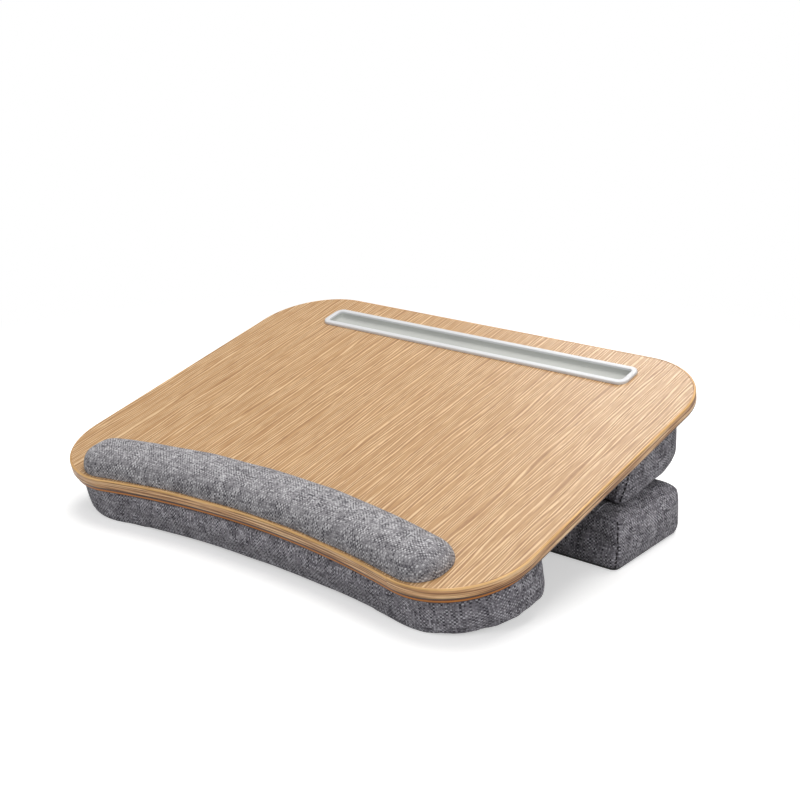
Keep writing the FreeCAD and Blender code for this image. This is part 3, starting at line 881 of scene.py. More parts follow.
def sweep(name: str, rim: Rim, profile: Array, place: PointRule, ring: bool = False) -> Piece:
    """Carry a profile round a rim.

    A vertex is the rim's point, moved inwards along its normal by the profile's inset and up
    by the profile's height. The strip map holds the distance along the rim and along the
    profile.

    Args:
        name: The piece's name.
        rim: The path.
        profile: Insets and heights, one row per point, or one such table per rim point.
        place: Puts the points in the row frame.
        ring: True if the profile closes on itself, and False if its ends are capped.

    Returns:
        The closed piece.
    """
    count = len(rim.points)
    table = np.broadcast_to(profile, (count, *profile.shape[-2:]))
    flat = rim.points[:, None, :] - rim.normals[:, None, :] * table[..., :1]
    points = place(np.concatenate([flat, table[..., 1:]], -1))
    steps = table.shape[1]
    spans = steps if ring else steps - 1
    faces = quad_grid(count, steps, True, ring).tolist()
    if not ring:
        first = np.arange(count) * steps
        faces += [first[::-1].tolist(), (first + steps - 1).tolist()]
    piece = new_piece(name, points, faces)
    along = np.append(rim.along, rim.length)
    lengths = np.linalg.norm(np.diff(table[0], axis=0, append=table[0][:1]), axis=1)
    across = np.concatenate([[0], np.cumsum(lengths)])[: spans + 1]
    places = np.stack(np.meshgrid(along, across, indexing="ij"), -1).reshape(-1, 2)
    strip = places[quad_grid(count + 1, spans + 1)].reshape(-1, 2)
    layer = piece.data.uv_layers.new(name=STRIP_MAP)
    values = np.zeros((len(piece.data.loops), 2), np.float32)
    values[: len(strip)] = strip
    layer.data.foreach_set("uv", values.ravel())
    return face_outwards(piece)


def read_rows(items: bpy.types.bpy_prop_collection, name: str) -> Array:
    """A vector property of a mesh's items, one row each.

    Args:
        items: The mesh's vertices or normals.
        name: The property.

    Returns:
        The values, one row per item.
    """
    values = np.empty(len(items) * 3)
    items.foreach_get(name, values)
    return values.reshape(-1, 3)


def vertices_of(piece: Piece) -> Array:
    """The mesh's points, one row each."""
    return read_rows(piece.data.vertices, "co")


def normals_of(piece: Piece) -> Array:
    """The mesh's vertex normals, one row each."""
    return read_rows(piece.data.vertex_normals, "vector")


def move_vertices(piece: Piece, points: Array) -> None:
    """Put the mesh's points somewhere else."""
    piece.data.vertices.foreach_set("co", points.astype(np.float32).ravel())
    piece.data.update()


def keep_modifiers(piece: Piece) -> None:
    """Write what the piece's modifiers do into its mesh.

    Args:
        piece: The piece, which ends without modifiers.
    """
    scene = bpy.context.evaluated_depsgraph_get()
    scene.update()
    mesh = bpy.data.meshes.new_from_object(piece.evaluated_get(scene))
    piece.modifiers.clear()
    old, piece.data = piece.data, mesh
    bpy.data.meshes.remove(old)


@dataclass(frozen=True)
class Filling:
    """How a cushion is filled out: an even mesh, air pressure, smoothing and a subdivision."""

    voxel: float = 0.0045
    reach: float = 0.0025
    pressure: float = 4.0
    smoothing: int = 1
    frames: int = 20
    mass: float = 0.3
    stretch: float = 12.0
    bending: float = 0.6
    quality: int = 5
    softness: float = 0.5

    def fill(self, piece: Piece, held: PointRule) -> None:
        """Blow up a cushion a little.

        Args:
            piece: The closed piece.
            held: Gives each point's hold, from 0 for free to 1 for fixed.
        """
        even = piece.modifiers.new("even", "REMESH")
        even.mode = "VOXEL"
        even.voxel_size = self.voxel
        keep_modifiers(piece)
        self._blow(piece, held)
        smooth = piece.modifiers.new("smooth", "SMOOTH")
        smooth.factor = self.softness
        smooth.iterations = self.smoothing
        finer = piece.modifiers.new("finer", "SUBSURF")
        finer.levels = finer.render_levels = 1
        keep_modifiers(piece)

    def _blow(self, piece: Piece, held: PointRule) -> None:
        """Run the cloth under pressure, and keep its points near where they began.

        A point that the cloth moved by d moves by reach tanh(d / reach) instead.

        Args:
            piece: The piece.
            held: Gives each point's hold.
        """
        before = vertices_of(piece)
        hold = held(before)
        group = piece.vertex_groups.new(name="held")
        for index in np.flatnonzero(hold > 0).tolist():
            group.add([index], float(hold[index]), "REPLACE")
        cloth = piece.modifiers.new("cloth", "CLOTH")
        settings = cloth.settings
        settings.quality = self.quality
        settings.mass = self.mass
        settings.tension_stiffness = settings.compression_stiffness = self.stretch
        settings.bending_stiffness = self.bending
        settings.use_pressure = True
        settings.uniform_pressure_force = self.pressure
        settings.vertex_group_mass = group.name
        settings.effector_weights.gravity = 0
        cloth.collision_settings.use_collision = False
        cloth.collision_settings.use_self_collision = False
        scene = bpy.context.scene
        for frame in range(1, self.frames + 1):
            scene.frame_set(frame)
        done = piece.evaluated_get(bpy.context.evaluated_depsgraph_get())
        moved = vertices_of(done) - before
        piece.modifiers.clear()
        piece.vertex_groups.clear()
        scene.frame_set(1)
        far = np.linalg.norm(moved, axis=1, keepdims=True) + 1e-9
        capped = moved * np.tanh(far / self.reach) * self.reach / far
        move_vertices(piece, before + capped)


def cut_flat(piece: Piece, spot: Array, up: Array) -> None:
    """Cut a closed piece off below a plane and close it again with one flat face.

    Args:
        piece: The piece.
        spot: A point of the plane.
        up: The plane's normal, on the side that stays.
    """
    work = bmesh.new()
    work.from_mesh(piece.data)
    parts = [*work.verts, *work.edges, *work.faces]
    cut = bmesh.ops.bisect_plane(
        work, geom=parts, dist=1e-5, plane_co=spot, plane_no=up, clear_inner=True
    )
    edges = [part for part in cut["geom_cut"] if isinstance(part, bmesh.types.BMEdge)]
    bmesh.ops.contextual_create(work, geom=edges)
    work.to_mesh(piece.data)
    work.free()
    face_outwards(piece)


def held_under(lean: Lean, top: float) -> PointRule:
    """Hold of a cushion's points: full at the panel above it and none a little lower."""
    return lambda points: np.clip(1 - (top - lean.undo(points)[:, 2]) / HOLD_DEPTH, 0, 1)


def keep_between(piece: Piece, lean: Lean, top: float, rest: float) -> None:
    """Keep a piece under the panel at the height top of the desk's frame, and above a rest.

    Args:
        piece: The piece.
        lean: The desk's frame.
        top: Height of the panel's lower face in that frame.
        rest: Height over the table of what the piece stands on.
    """
    local = lean.undo(vertices_of(piece))
    local[:, 2] = np.minimum(local[:, 2], top - CLEARANCE)
    points = lean.place(local)
    points[:, 2] = np.maximum(points[:, 2], rest)
    move_vertices(piece, points)


def spread(path: Array, spacing: float) -> Array:
    """Even points along a line of straight runs.

    Args:
        path: The line's corners.
        spacing: About how far apart the points are.

    Returns:
        The points, one row each.
    """
    runs = np.linalg.norm(np.diff(path, axis=0), axis=1)
    along = np.concatenate([[0], np.cumsum(runs)])
    places = np.linspace(0, along[-1], max(2, round(along[-1] / spacing)))
    return np.stack([np.interp(places, along, path[:, axis]) for axis in range(3)], -1)


def press(
    piece: Piece, paths: list[Array], depth: float, width: float, swell: float = 0.45
) -> None:
    """Press grooves with a low swell on each side into a piece, one along each path.

    A point at d widths from a path moves along its normal by depth times
    swell exp(-(d - 2)^2) - exp(-d^2). Past five widths it stays where it is.

    Args:
        piece: The piece.
        paths: Lines near its surface.
        depth: How deep the grooves are.
        width: Half of a groove's width.
        swell: Height of the swells, as a share of the depth.
    """
    for path in paths:
        points, normals = vertices_of(piece), normals_of(piece)
        line = spread(path, width / 2)
        reach = 5 * width
        inside = (points > line.min(0) - reach) & (points < line.max(0) + reach)
        near = np.flatnonzero(np.all(inside, axis=1))
        apart = points[near][:, None, :] - line[None, :, :]
        gap = np.linalg.norm(apart, axis=2).min(1) / width
        bulge = swell * np.exp(-((gap - 2) ** 2)) - np.exp(-(gap**2))
        points[near] += normals[near] * (depth * bulge)[:, None]
        move_vertices(piece, points)


def pull(piece: Piece, spot: Array, way: Array, reach: float) -> None:
    """Pull a piece out at a spot: a point at distance d goes the way times exp(-(d / reach)^2).

    Args:
        piece: The piece.
        spot: Where it is pulled.
        way: How far and which way.
        reach: Distance over which the pull fades.
    """
    points = vertices_of(piece)
    gap = np.linalg.norm(points - spot, axis=1)
    move_vertices(piece, points + np.exp(-((gap / reach) ** 2))[:, None] * way)


def ripple(piece: Piece, height: float, length: float) -> None:
    """Make a surface slightly uneven.

    Five plane waves, each in a direction of its own, are added and move the points along
    their normals. Each is shorter than the one before by one ratio and lower by another.

    Args:
        piece: The piece.
        height: About how far its points move.
        length: Length of the longest wave.
    """
    points, normals = vertices_of(piece), normals_of(piece)
    total = np.zeros(len(points))
    shorter, lower = 1.45, 1.3
    for index in range(5):
        turn = 2.4 * index + 0.7
        way = np.array([math.cos(turn), math.sin(turn), math.sin(1.7 * turn)])
        wave = length / shorter**index
        total += np.sin(points @ way * (2 * math.pi / wave) + 1.3 * index) / lower**index
    move_vertices(piece, points + normals * (total * height / 2)[:, None])


@dataclass(frozen=True)
class Stitching:
    """Row of stitches that lie in a seam."""

    length: float = 0.0027
    pitch: float = 0.0037
    radius: float = 0.00065
    sunk: float = 0.0004

    def lay(self, name: str, cloth: Piece, paths: list[Array]) -> Piece:
        """Lay stitches along paths on a cloth.

        Each stitch is a ring-built spindle whose radius is r sqrt(1 - t^4) for t from -1 at one
        end to 1 at the other.

        Args:
            name: The piece's name.
            cloth: What the stitches lie on.
            paths: Lines near the cloth.

        Returns:
            One piece with every stitch.
        """
        tree = BVHTree.FromObject(cloth, bpy.context.evaluated_depsgraph_get())
        share = np.array([-1, -0.9, -0.55, 0, 0.55, 0.9, 1])
        swell = np.sqrt(1 - share**4).clip(0.05)
        angle = np.linspace(0, 2 * math.pi, 7)[:-1]
        rings, blocks = len(share), []
        for path in paths:
            found = [tree.find_nearest(Vector(point))[:2] for point in spread(path, self.pitch)]
            place = np.array([tuple(spot) for spot, _ in found])
            up = np.array([tuple(normal) for _, normal in found])
            along = np.gradient(place, axis=0)
            along /= np.linalg.norm(along, axis=1, keepdims=True)
            side = np.cross(along, up)
            side /= np.linalg.norm(side, axis=1, keepdims=True)
            centre = place + up * (self.radius - self.sunk)
            reach = along[:, None, None] * (share * self.length / 2)[None, :, None, None]
            round_up = up[:, None, None] * np.sin(angle)[None, None, :, None]
            round_side = side[:, None, None] * np.cos(angle)[None, None, :, None]
            width = self.radius * swell[None, :, None, None]
            blocks.append(centre[:, None, None] + reach + (round_up + round_side) * width)
        grid = np.concatenate(blocks)
        steps = len(angle)
        first = np.arange(len(grid))[:, None] * rings * steps
        quads = (first[:, None] + quad_grid(rings, steps, closed_columns=True)).reshape(-1, 4)
        end = np.arange(steps)
        faces = quads.tolist() + (first + end).tolist()
        faces += (first + (rings - 1) * steps + end).tolist()
        return face_outwards(new_piece(name, grid, faces))


def mirrored(path: Triple | Path) -> list[Array]:
    """A point or path and its mirror image on the left."""
    right = np.array(path)
    return [right, right * np.array([-1, 1, 1])]


def wear(piece: Piece, material: Material) -> Piece:
    """Give a piece one material all over.

    Args:
        piece: The piece.
        material: What it wears.

    Returns:
        The same piece.
    """
    if piece.material_slots:
        for slot in piece.material_slots:
            slot.material = material
    else:
        piece.data.materials.append(material)
    return piece


class Body(Enum):
    """The two rigid bodies that pieces ride on."""

    DESK = "desk"
    RISER = "riser"


def settle(piece: Piece, body: Body, nodes: tuple[str, ...] = ()) -> None:
    """Put a finished piece on its body and hide the nodes it stands for.

    Args:
        piece: The piece.
        body: The body it rides on.
        nodes: The nodes it stands for, if any.
    """
    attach(piece, body.value)
    if nodes:
        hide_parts(*nodes)
    log.info("%s: %d faces", piece.name, len(piece.data.polygons))


def clothe(cushion: Piece, linen: Material) -> None:
    """Give a cushion its cloth, shaded smooth but for its sharpest edges."""
    shade(wear(cushion, linen), CLOTH_SHARP)


def sew(name: str, cushion: Piece, seams: list[Array], body: Body, finishes: Finishes) -> None:
    """Lay stitches along a cushion's seams and settle them on its body."""
    stitches = Stitching().lay(name, cushion, seams)
    settle(shade(wear(stitches, finishes["thread"])), body)


# the object's own dimensions


@dataclass
class Board:
    """The wooden board: oak sheet, edge band, base panel and fibreboard core."""

    lean: Lean
    plan: Plan = Plan(0.22, 0.0, 0.34, 0.063, 0.064, 0.01585)
    base_plan: Plan = Plan(0.2165, 0.0015, 0.3365, 0.0595, 0.0605, 0.01585)
    thickness: float = 0.0082
    band: float = 0.002
    rounding: float = 0.0014
    base: float = 0.004
    base_rounding: float = 0.0007
    chamfer: float = 0.0003
    spacing: float = 0.004

    def edge_band(self) -> Piece:
        """Band round the board, its upper arris rounded.

        Returns:
            The closed piece.
        """
        arris = bend((0, -self.rounding), (self.rounding, 0), 7)
        low = -self.thickness
        foot = [(self.band, low), (self.chamfer, low), (0, low + self.chamfer)]
        profile = np.concatenate([foot, arris, [(self.band, 0)]])
        rim = self.plan.rim(self.spacing)
        return sweep("edge_band_wood", rim, profile, self.lean.place, ring=True)

    def base_panel(self) -> Piece:
        """Panel under the board, with a small quarter circle at each of its two rims.

        Returns:
            The closed piece.
        """
        top, bottom = -self.thickness, -self.thickness - self.base
        r = self.base_rounding
        lower, upper = bend((0, bottom + r), (r, bottom), 5), bend((0, top - r), (r, top), 5)
        profile = np.concatenate([lower[::-1], upper])
        return sweep("base_panel_wood", self.base_plan.rim(self.spacing), profile, self.lean.place)

    def build(self, finishes: Finishes) -> None:
        """Build and dress what the solids don't show well: the band and the panel.

        Args:
            finishes: The object's materials.
        """
        band = shade(wear(self.edge_band(), finishes["edge_wood"]))
        settle(band, Body.DESK, ("edge_band",))
        panel = shade(wear(self.base_panel(), finishes["base_wood"]))
        settle(panel, Body.DESK, ("base_panel",))


@dataclass
class Tray:
    """The tray let into the board: a rounded white rim and a shallow grey dish."""

    lean: Lean
    plan: Plan = Plan(0.159, 0.288, 0.316, 0.008, 0.008)
    rim_height: float = 0.0025
    rim_width: float = 0.0048
    skirt_inset: float = 0.0019
    skirt_wall: float = 0.0014
    skirt_depth: float = 0.0046
    lip: float = 0.0009
    gap: float = 0.0002
    dish_floor: float = -0.0032
    dish_bottom: float = -0.0047
    dish_bend: float = 0.0016
    outer_round: float = 0.0011
    inner_round: float = 0.0007
    seat: float = 0.0003
    flats: tuple[float, float] = (0.0006, 0.002)
    spacing: float = 0.0012

    def rim(self) -> Piece:
        """Rim with a flat back, both its edges rounded, and a skirt down into the board.

        Returns:
            The closed piece.
        """
        r, s, top, edge = self.outer_round, self.inner_round, self.rim_height, self.rim_width
        outside = bend((0, top - r), (r, top), 6)
        inside = bend((edge - s, top), (edge, top - s), 6, True)
        outer, inner = self.skirt_inset, self.skirt_inset + self.skirt_wall
        low, under = -self.skirt_depth, self.lip - self.seat
        skirt = [(edge, under), (inner, under), (inner, low), (outer, low), (outer, 0)]
        profile = np.concatenate([[(self.seat, 0), (0, CLEARANCE)], outside, inside, skirt])
        return sweep("tray_rim", self.plan.rim(self.spacing), profile, self.lean.place, ring=True)

    def dish(self) -> Piece:
        """Dish with a short steep wall that bends into a flat floor.

        Returns:
            The closed piece.
        """
        out = self.skirt_inset + self.skirt_wall + self.gap
        top = self.lip - self.seat - self.gap
        wall = self.rim_width - self.seat
        slope = bend((wall, top), (wall + self.dish_bend, self.dish_floor), 8)
        flat = [(wall + self.dish_bend + step, self.dish_floor) for step in self.flats]
        profile = np.concatenate([[(out, self.dish_bottom), (out, top)], slope, flat])
        return sweep("tray_dish", self.plan.rim(self.spacing), profile, self.lean.place)

    def build(self, finishes: Finishes) -> None:
        """Build and dress the tray.

        Args:
            finishes: The object's materials.
        """
        rim = shade(wear(self.rim(), finishes["white_moulding"]))
        settle(rim, Body.DESK, ("tray_bezel",))
        dish = shade(wear(self.dish(), finishes["grey_moulding"]))
        settle(dish, Body.DESK, ("tray_cup",))


@dataclass
class WristPad:
    """Crescent pad along the front edge: a dome that stands on the board."""

    lean: Lean
    plan: Plan = Plan(0.1782, 0.0028, 0.0482, 0.0218, 0.021, 0.0155, 0.0174)
    height: float = 0.0178
    fall: float = 0.02
    seat: float = 0.0003
    depth: float = 0.004
    reach: float = 0.0201
    fullness: float = 1.75
    front_fullness: float = 2.3
    belly: float = 0.002
    crowding: float = 1.6
    unevenness: tuple[float, float] = (0.0003, 0.09)
    spacing: float = 0.003
    filling: Filling = Filling(voxel=0.003, reach=0.001, pressure=3.0)

    def cover(self) -> Piece:
        """Closed dome.

        Above the belly the height is H (1 - (1 - d / D)^n)^(1/n) at a distance d from the
        rim, where D is about half the pad's depth and n its fullness, which is more at the
        front. Its points crowd towards the rim. Below the belly the wall is straight and goes
        on under the board, where it is cut off later. Towards the rear the whole dome is lower
        by a share.

        Returns:
            The closed piece.
        """
        under = np.stack([np.zeros(4), np.linspace(-self.depth, self.belly, 4)], -1)
        share = np.linspace(0, 1, 22)[1:] ** self.crowding
        rim = self.plan.rim(self.spacing)
        ahead = np.clip(-rim.normals[:, 1:], 0, 1)
        full = self.fullness + (self.front_fullness - self.fullness) * ahead
        rise = (1 - (1 - share) ** full) ** (1 / full)
        insets = np.broadcast_to(share * self.reach, rise.shape)
        dome = np.stack([insets, self.belly + rise * (self.height - self.belly)], -1)
        foot = np.broadcast_to(under, (len(dome), *under.shape))
        profile = np.concatenate([foot, dome], 1)

        def place(points: Array) -> Array:
            """Lower the dome towards the rear and put it on the board."""
            back = np.clip((points[..., 1] - self.plan.front) / self.plan.rear, 0, 1)
            low = points[..., 2] * (1 - self.fall * back)
            return self.lean.place(np.stack([points[..., 0], points[..., 1], low], -1))

        return sweep("wrist_pad", rim, profile, place)

    def build(self, finishes: Finishes) -> None:
        """Build, fill and dress the pad.

        Args:
            finishes: The object's materials.
        """
        pad = self.cover()
        self.filling.fill(pad, lambda points: (self.lean.undo(points)[:, 2] < self.belly) * 1.0)
        ripple(pad, *self.unevenness)
        seat, above = self.lean.place(np.array([[0, 0, self.seat], [0, 0, 1 + self.seat]]))
        cut_flat(pad, seat, above - seat)
        clothe(pad, finishes["pad_linen"])
        settle(pad, Body.DESK, ("wrist_pad_cover", "wrist_pad_foam"))


@dataclass
class FrontCushion:
    """Cushion along the front, as hollow as the board's edge, standing on the table."""

    lean: Lean
    plan: Plan = Plan(0.215, 0.0045, 0.0886, 0.062, 0.012, 0.01)
    top: float = PANEL_FACE
    height: float = 0.0325
    rounding: float = 0.0045
    rear_rounding: float = 0.0105
    draw: float = 0.0006
    drop: float = 0.0003
    middle: float = 0.034
    unevenness: tuple[float, float] = (0.00025, 0.11)
    spacing: float = 0.005
    filling: Filling = Filling(voxel=0.0032, reach=0.0022)

    def cover(self) -> Piece:
        """Closed block whose lower rim is rounded, more so at the rear.

        From the top, where it is drawn in a little, the profile goes down the wall, round a
        quarter circle and inwards along the underside.

        Returns:
            The closed piece.
        """
        low = self.top - self.height
        rim = self.plan.rim(self.spacing)
        behind = np.clip(rim.normals[:, 1:], 0, 1)
        r = self.rounding + (self.rear_rounding - self.rounding) * behind
        share = np.linspace(0, 1, 8)[None, :]
        wall = self.top - self.drop + share * (low + r - self.top)
        turns, drops = (part[None, 1:] for part in quarter(9))
        flat = r + np.linspace(0, 1, 6)[None, 1:] * (self.middle - r)
        insets = np.concatenate([self.draw * (1 - share) + 0 * r, r * turns, flat], 1)
        heights = np.concatenate([wall, low + r * drops, np.full_like(flat, low)], 1)
        profile = np.stack([insets, heights], -1)[:, ::-1]
        return sweep("front_cushion", rim, profile, self.lean.place)

    def build(self, finishes: Finishes) -> None:
        """Build, fill and dress the cushion.

        Args:
            finishes: The object's materials.
        """
        cushion = self.cover()
        self.filling.fill(cushion, held_under(self.lean, self.top))
        ripple(cushion, *self.unevenness)
        keep_between(cushion, self.lean, self.top, CLEARANCE)
        clothe(cushion, finishes["cushion_linen"])
        stands_for = ("front_cushion_cover", "front_cushion_foam")
        settle(cushion, Body.DESK, stands_for)


@dataclass
class RearCushion:
    """Wedge under the rear of the board, deeper at its rear, that stands on the riser."""

    lean: Lean
    plan: Plan = Plan(0.213, 0.1925, 0.33, 0.014, 0.078)
    top: float = PANEL_FACE
    low: float = -0.0438
    wedge: float = math.radians(11)
    rounding: float = 0.0075
    rear_rounding: float = 0.023
    middle: float = 0.05
    upright: float = 0.05
    seam: Path = (
        (0.2135, 0.2015, -0.0145),
        (0.2135, 0.1992, -0.0215),
        (0.2122, 0.1968, -0.0275),
        (0.2095, 0.1945, -0.0335),
        (0.2065, 0.194, -0.04),
    )
    seam_depth: float = 0.0021
    seam_width: float = 0.0026
    corner: Triple = (0.2125, 0.031, 0.044)
    corner_pull: Triple = (0.0005, -0.0045, -0.001)
    corner_reach: float = 0.012
    unevenness: tuple[float, float] = (0.0004, 0.1)
    spacing: float = 0.005
    filling: Filling = Filling(smoothing=4)

    def depth(self, y: Array) -> Array:
        """How deep the wedge is under the panel at each distance from the front line."""
        return self.top - self.low + (y - self.plan.front) * math.tan(self.wedge)

    def cover(self) -> Piece:
        """Closed wedge.

        A profile point is an inset and a share of the wedge's depth there. The front face
        leans so that it stands upright over the table: its points move to the rear by their
        height above the lower edge times the tangent of the lean.

        Returns:
            The closed piece.
        """
        rim = self.plan.rim(self.spacing)
        back = (rim.points[:, 1] - self.plan.front) / (self.plan.rear - self.plan.front)
        radius = self.rounding + (self.rear_rounding - self.rounding) * np.clip(back, 0, 1)
        depth = self.depth(rim.points[:, 1])
        wall = np.linspace(0, 1, 8)[:, None] * (1 - radius / depth)
        turns, drops = (part[1:, None] for part in quarter(9))
        flat = radius + np.linspace(0, 1, 6)[1:, None] * (self.middle - radius)
        insets = np.concatenate([0 * wall, turns * radius, flat])
        shares = np.concatenate([wall, 1 - drops * radius / depth, np.ones_like(flat)])
        profile = np.stack([insets.T, shares.T], -1)[:, ::-1]

        def place(points: Array) -> Array:
            """Hang the profile under the panel with its front face upright."""
            y = points[..., 1]
            deep = self.depth(y) * points[..., 2]
            ahead = np.clip(1 - (y - self.plan.front) / self.upright, 0, 1)
            above = self.depth(y) - deep
            shifted = y + above * math.tan(self.lean.tilt) * ahead
            height = self.top - CLEARANCE - deep
            return self.lean.place(np.stack([points[..., 0], shifted, height], -1))

        return sweep("rear_cushion", rim, profile, place)

    def build(self, finishes: Finishes, rest: float) -> None:
        """Build, fill and dress the cushion.

        Args:
            finishes: The object's materials.
            rest: Height of what it stands on.
        """
        cushion = self.cover()
        self.filling.fill(cushion, held_under(self.lean, self.top))
        ripple(cushion, *self.unevenness)
        for corner, way in zip(mirrored(self.corner), mirrored(self.corner_pull)):
            pull(cushion, corner, way, self.corner_reach)
        seams = [self.lean.place(path) for path in mirrored(self.seam)]
        press(cushion, seams, self.seam_depth, self.seam_width)
        keep_between(cushion, self.lean, self.top, rest)
        clothe(cushion, finishes["cushion_linen"])
        sew("rear_cushion_stitches", cushion, seams, Body.DESK, finishes)
        settle(cushion, Body.DESK, ("rear_cushion_cover", "rear_cushion_foam"))


@dataclass
class Riser:
    """Block cushion under the rear cushion, with a stiff panel in its foot."""

    front: float
    plan: Plan = Plan(0.219, 0.0, 0.0992, 0.0062, 0.0062)
    height: float = 0.041
    rounding: float = 0.0065
    rear_rounding: float = 0.0085
    foot: float = 0.003
    hem: float = 0.003
    recess: float = 0.0017
    middle: float = 0.046
    held_height: float = 0.004
    seam: Path = (
        (0.2165, 0.0025, 0.038),
        (0.2178, 0.0012, 0.034),
        (0.218, 0.001, 0.02),
        (0.2178, 0.0012, 0.003),
    )
    seam_depth: float = 0.002
    seam_width: float = 0.0022
    creases: tuple[Path, ...] = (
        ((0.215, 0.0, 0.0335), (0.205, 0.0, 0.032), (0.192, 0.0, 0.0285), (0.182, 0.0, 0.027)),
        ((0.215, 0.0, 0.0195), (0.207, 0.0, 0.0205), (0.198, 0.0, 0.0225)),
    )
    crease_depth: float = 0.0022
    crease_width: float = 0.004
    unevenness: tuple[float, float] = (0.0004, 0.1)
    spacing: float = 0.004
    filling: Filling = Filling()

    def cover(self) -> Piece:
        """Closed block, rounder at its rear top.

        The profile goes round the foot's quarter circle, up the wall, round a second quarter
        circle and inwards along the crown.

        Returns:
            The closed piece.
        """
        rim = self.plan.rim(self.spacing)
        back = np.clip(rim.points[:, 1] / self.plan.rear, 0, 1)
        radius = (self.rounding + (self.rear_rounding - self.rounding) * back)[:, None]
        foot = bend((0, self.foot), (self.foot, 0), 6)[::-1] + 0 * radius[..., None]
        share = np.linspace(0, 1, 9)[None, 1:-1]
        wall = self.foot + share * (self.height - radius - self.foot)
        turns, drops = (part[None, :] for part in quarter(9))
        flat = radius + np.linspace(0, 1, 7)[None, 1:] * (self.middle - radius)
        insets = np.concatenate([0 * wall, turns * radius, flat], 1)
        top = self.height - radius * drops
        heights = np.concatenate([wall, top, np.full_like(flat, self.height)], 1)
        profile = np.concatenate([foot, np.stack([insets, heights], -1)], 1)
        shift = np.array([0, self.front, 0])
        return sweep("riser_cushion", rim, profile, lambda points: points + shift)

    def build(self, finishes: Finishes) -> None:
        """Build, fill and dress the riser, and press its foot in for the panel.

        Args:
            finishes: The object's materials.
        """
        cushion = self.cover()
        self.filling.fill(cushion, lambda points: (points[:, 2] < self.held_height) * 1.0)
        ripple(cushion, *self.unevenness)
        shift = np.array([0, self.front, 0])
        seams = [path + shift for path in mirrored(self.seam)]
        press(cushion, seams, self.seam_depth, self.seam_width)
        creases = [path + shift for crease in self.creases for path in mirrored(crease)]
        press(cushion, creases, self.crease_depth, self.crease_width)
        points = vertices_of(cushion)
        local = points - shift
        inside = np.minimum(self.plan.half - abs(local[:, 0]), local[:, 1])
        inside = np.minimum(inside, self.plan.rear - local[:, 1])
        floor = np.where(inside > self.hem, self.recess, CLEARANCE / 2)
        points[:, 2] = np.clip(points[:, 2], floor, self.height)
        move_vertices(cushion, points)
        clothe(cushion, finishes["riser_linen"])
        sew("riser_stitches", cushion, seams, Body.RISER, finishes)
        settle(cushion, Body.RISER, ("riser_cover", "riser_foam"))


@dataclass
class HingeStrip:
    """Strip of cover cloth sewn to the riser's front top edge and to the rear cushion."""

    front: float
    top: float
    half: float = 0.197
    start: float = 0.0045
    end: float = 0.0275
    hump: float = 0.0022
    thickness: float = 0.0009
    riser_hem: float = 0.003
    cushion_hem: float = 0.004
    gathers: tuple[tuple[float, float, float, float], ...] = (
        (0.28, 190, 0.0, 1.1),
        (0.18, 413, 2.2, 0.0),
        (0.1, 890, 5.0, 0.0),
    )

    def cloth(self) -> Piece:
        """Soft strip.

        At a share v of the way to the rear it stands hump sin(pi v) above the riser, times
        one half and the gathers, height sin(rate x + twist v + offset) each.

        Returns:
            The closed piece.
        """
        x = np.linspace(-self.half, self.half, 260)[:, None]
        v = np.linspace(0, 1, 12)[None, :]
        arch = np.sin(math.pi * v)
        gather = 0.5 + 0 * (x + v)
        for height, rate, twist, offset in self.gathers:
            gather = gather + height * np.sin(x * rate + v * twist + offset)
        y = self.front + self.start + v * (self.end - self.start) + 0 * x
        z = self.top + self.hump * arch * gather
        points = np.stack(np.broadcast_arrays(x, y, z), -1)
        piece = new_piece("riser_hinge_cloth", points, quad_grid(*points.shape[:2]).tolist())
        solid = piece.modifiers.new("thick", "SOLIDIFY")
        solid.thickness = self.thickness
        solid.offset = 1
        keep_modifiers(piece)
        return piece

    def build(self, finishes: Finishes) -> None:
        """Build and dress the strip, and hide the node it stands for.

        Args:
            finishes: The object's materials.
        """
        strip = self.cloth()
        clothe(strip, finishes["riser_linen"])
        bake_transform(strip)
        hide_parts("riser_hinge_strip")
        log.info("%s: %d faces", strip.name, len(strip.data.polygons))


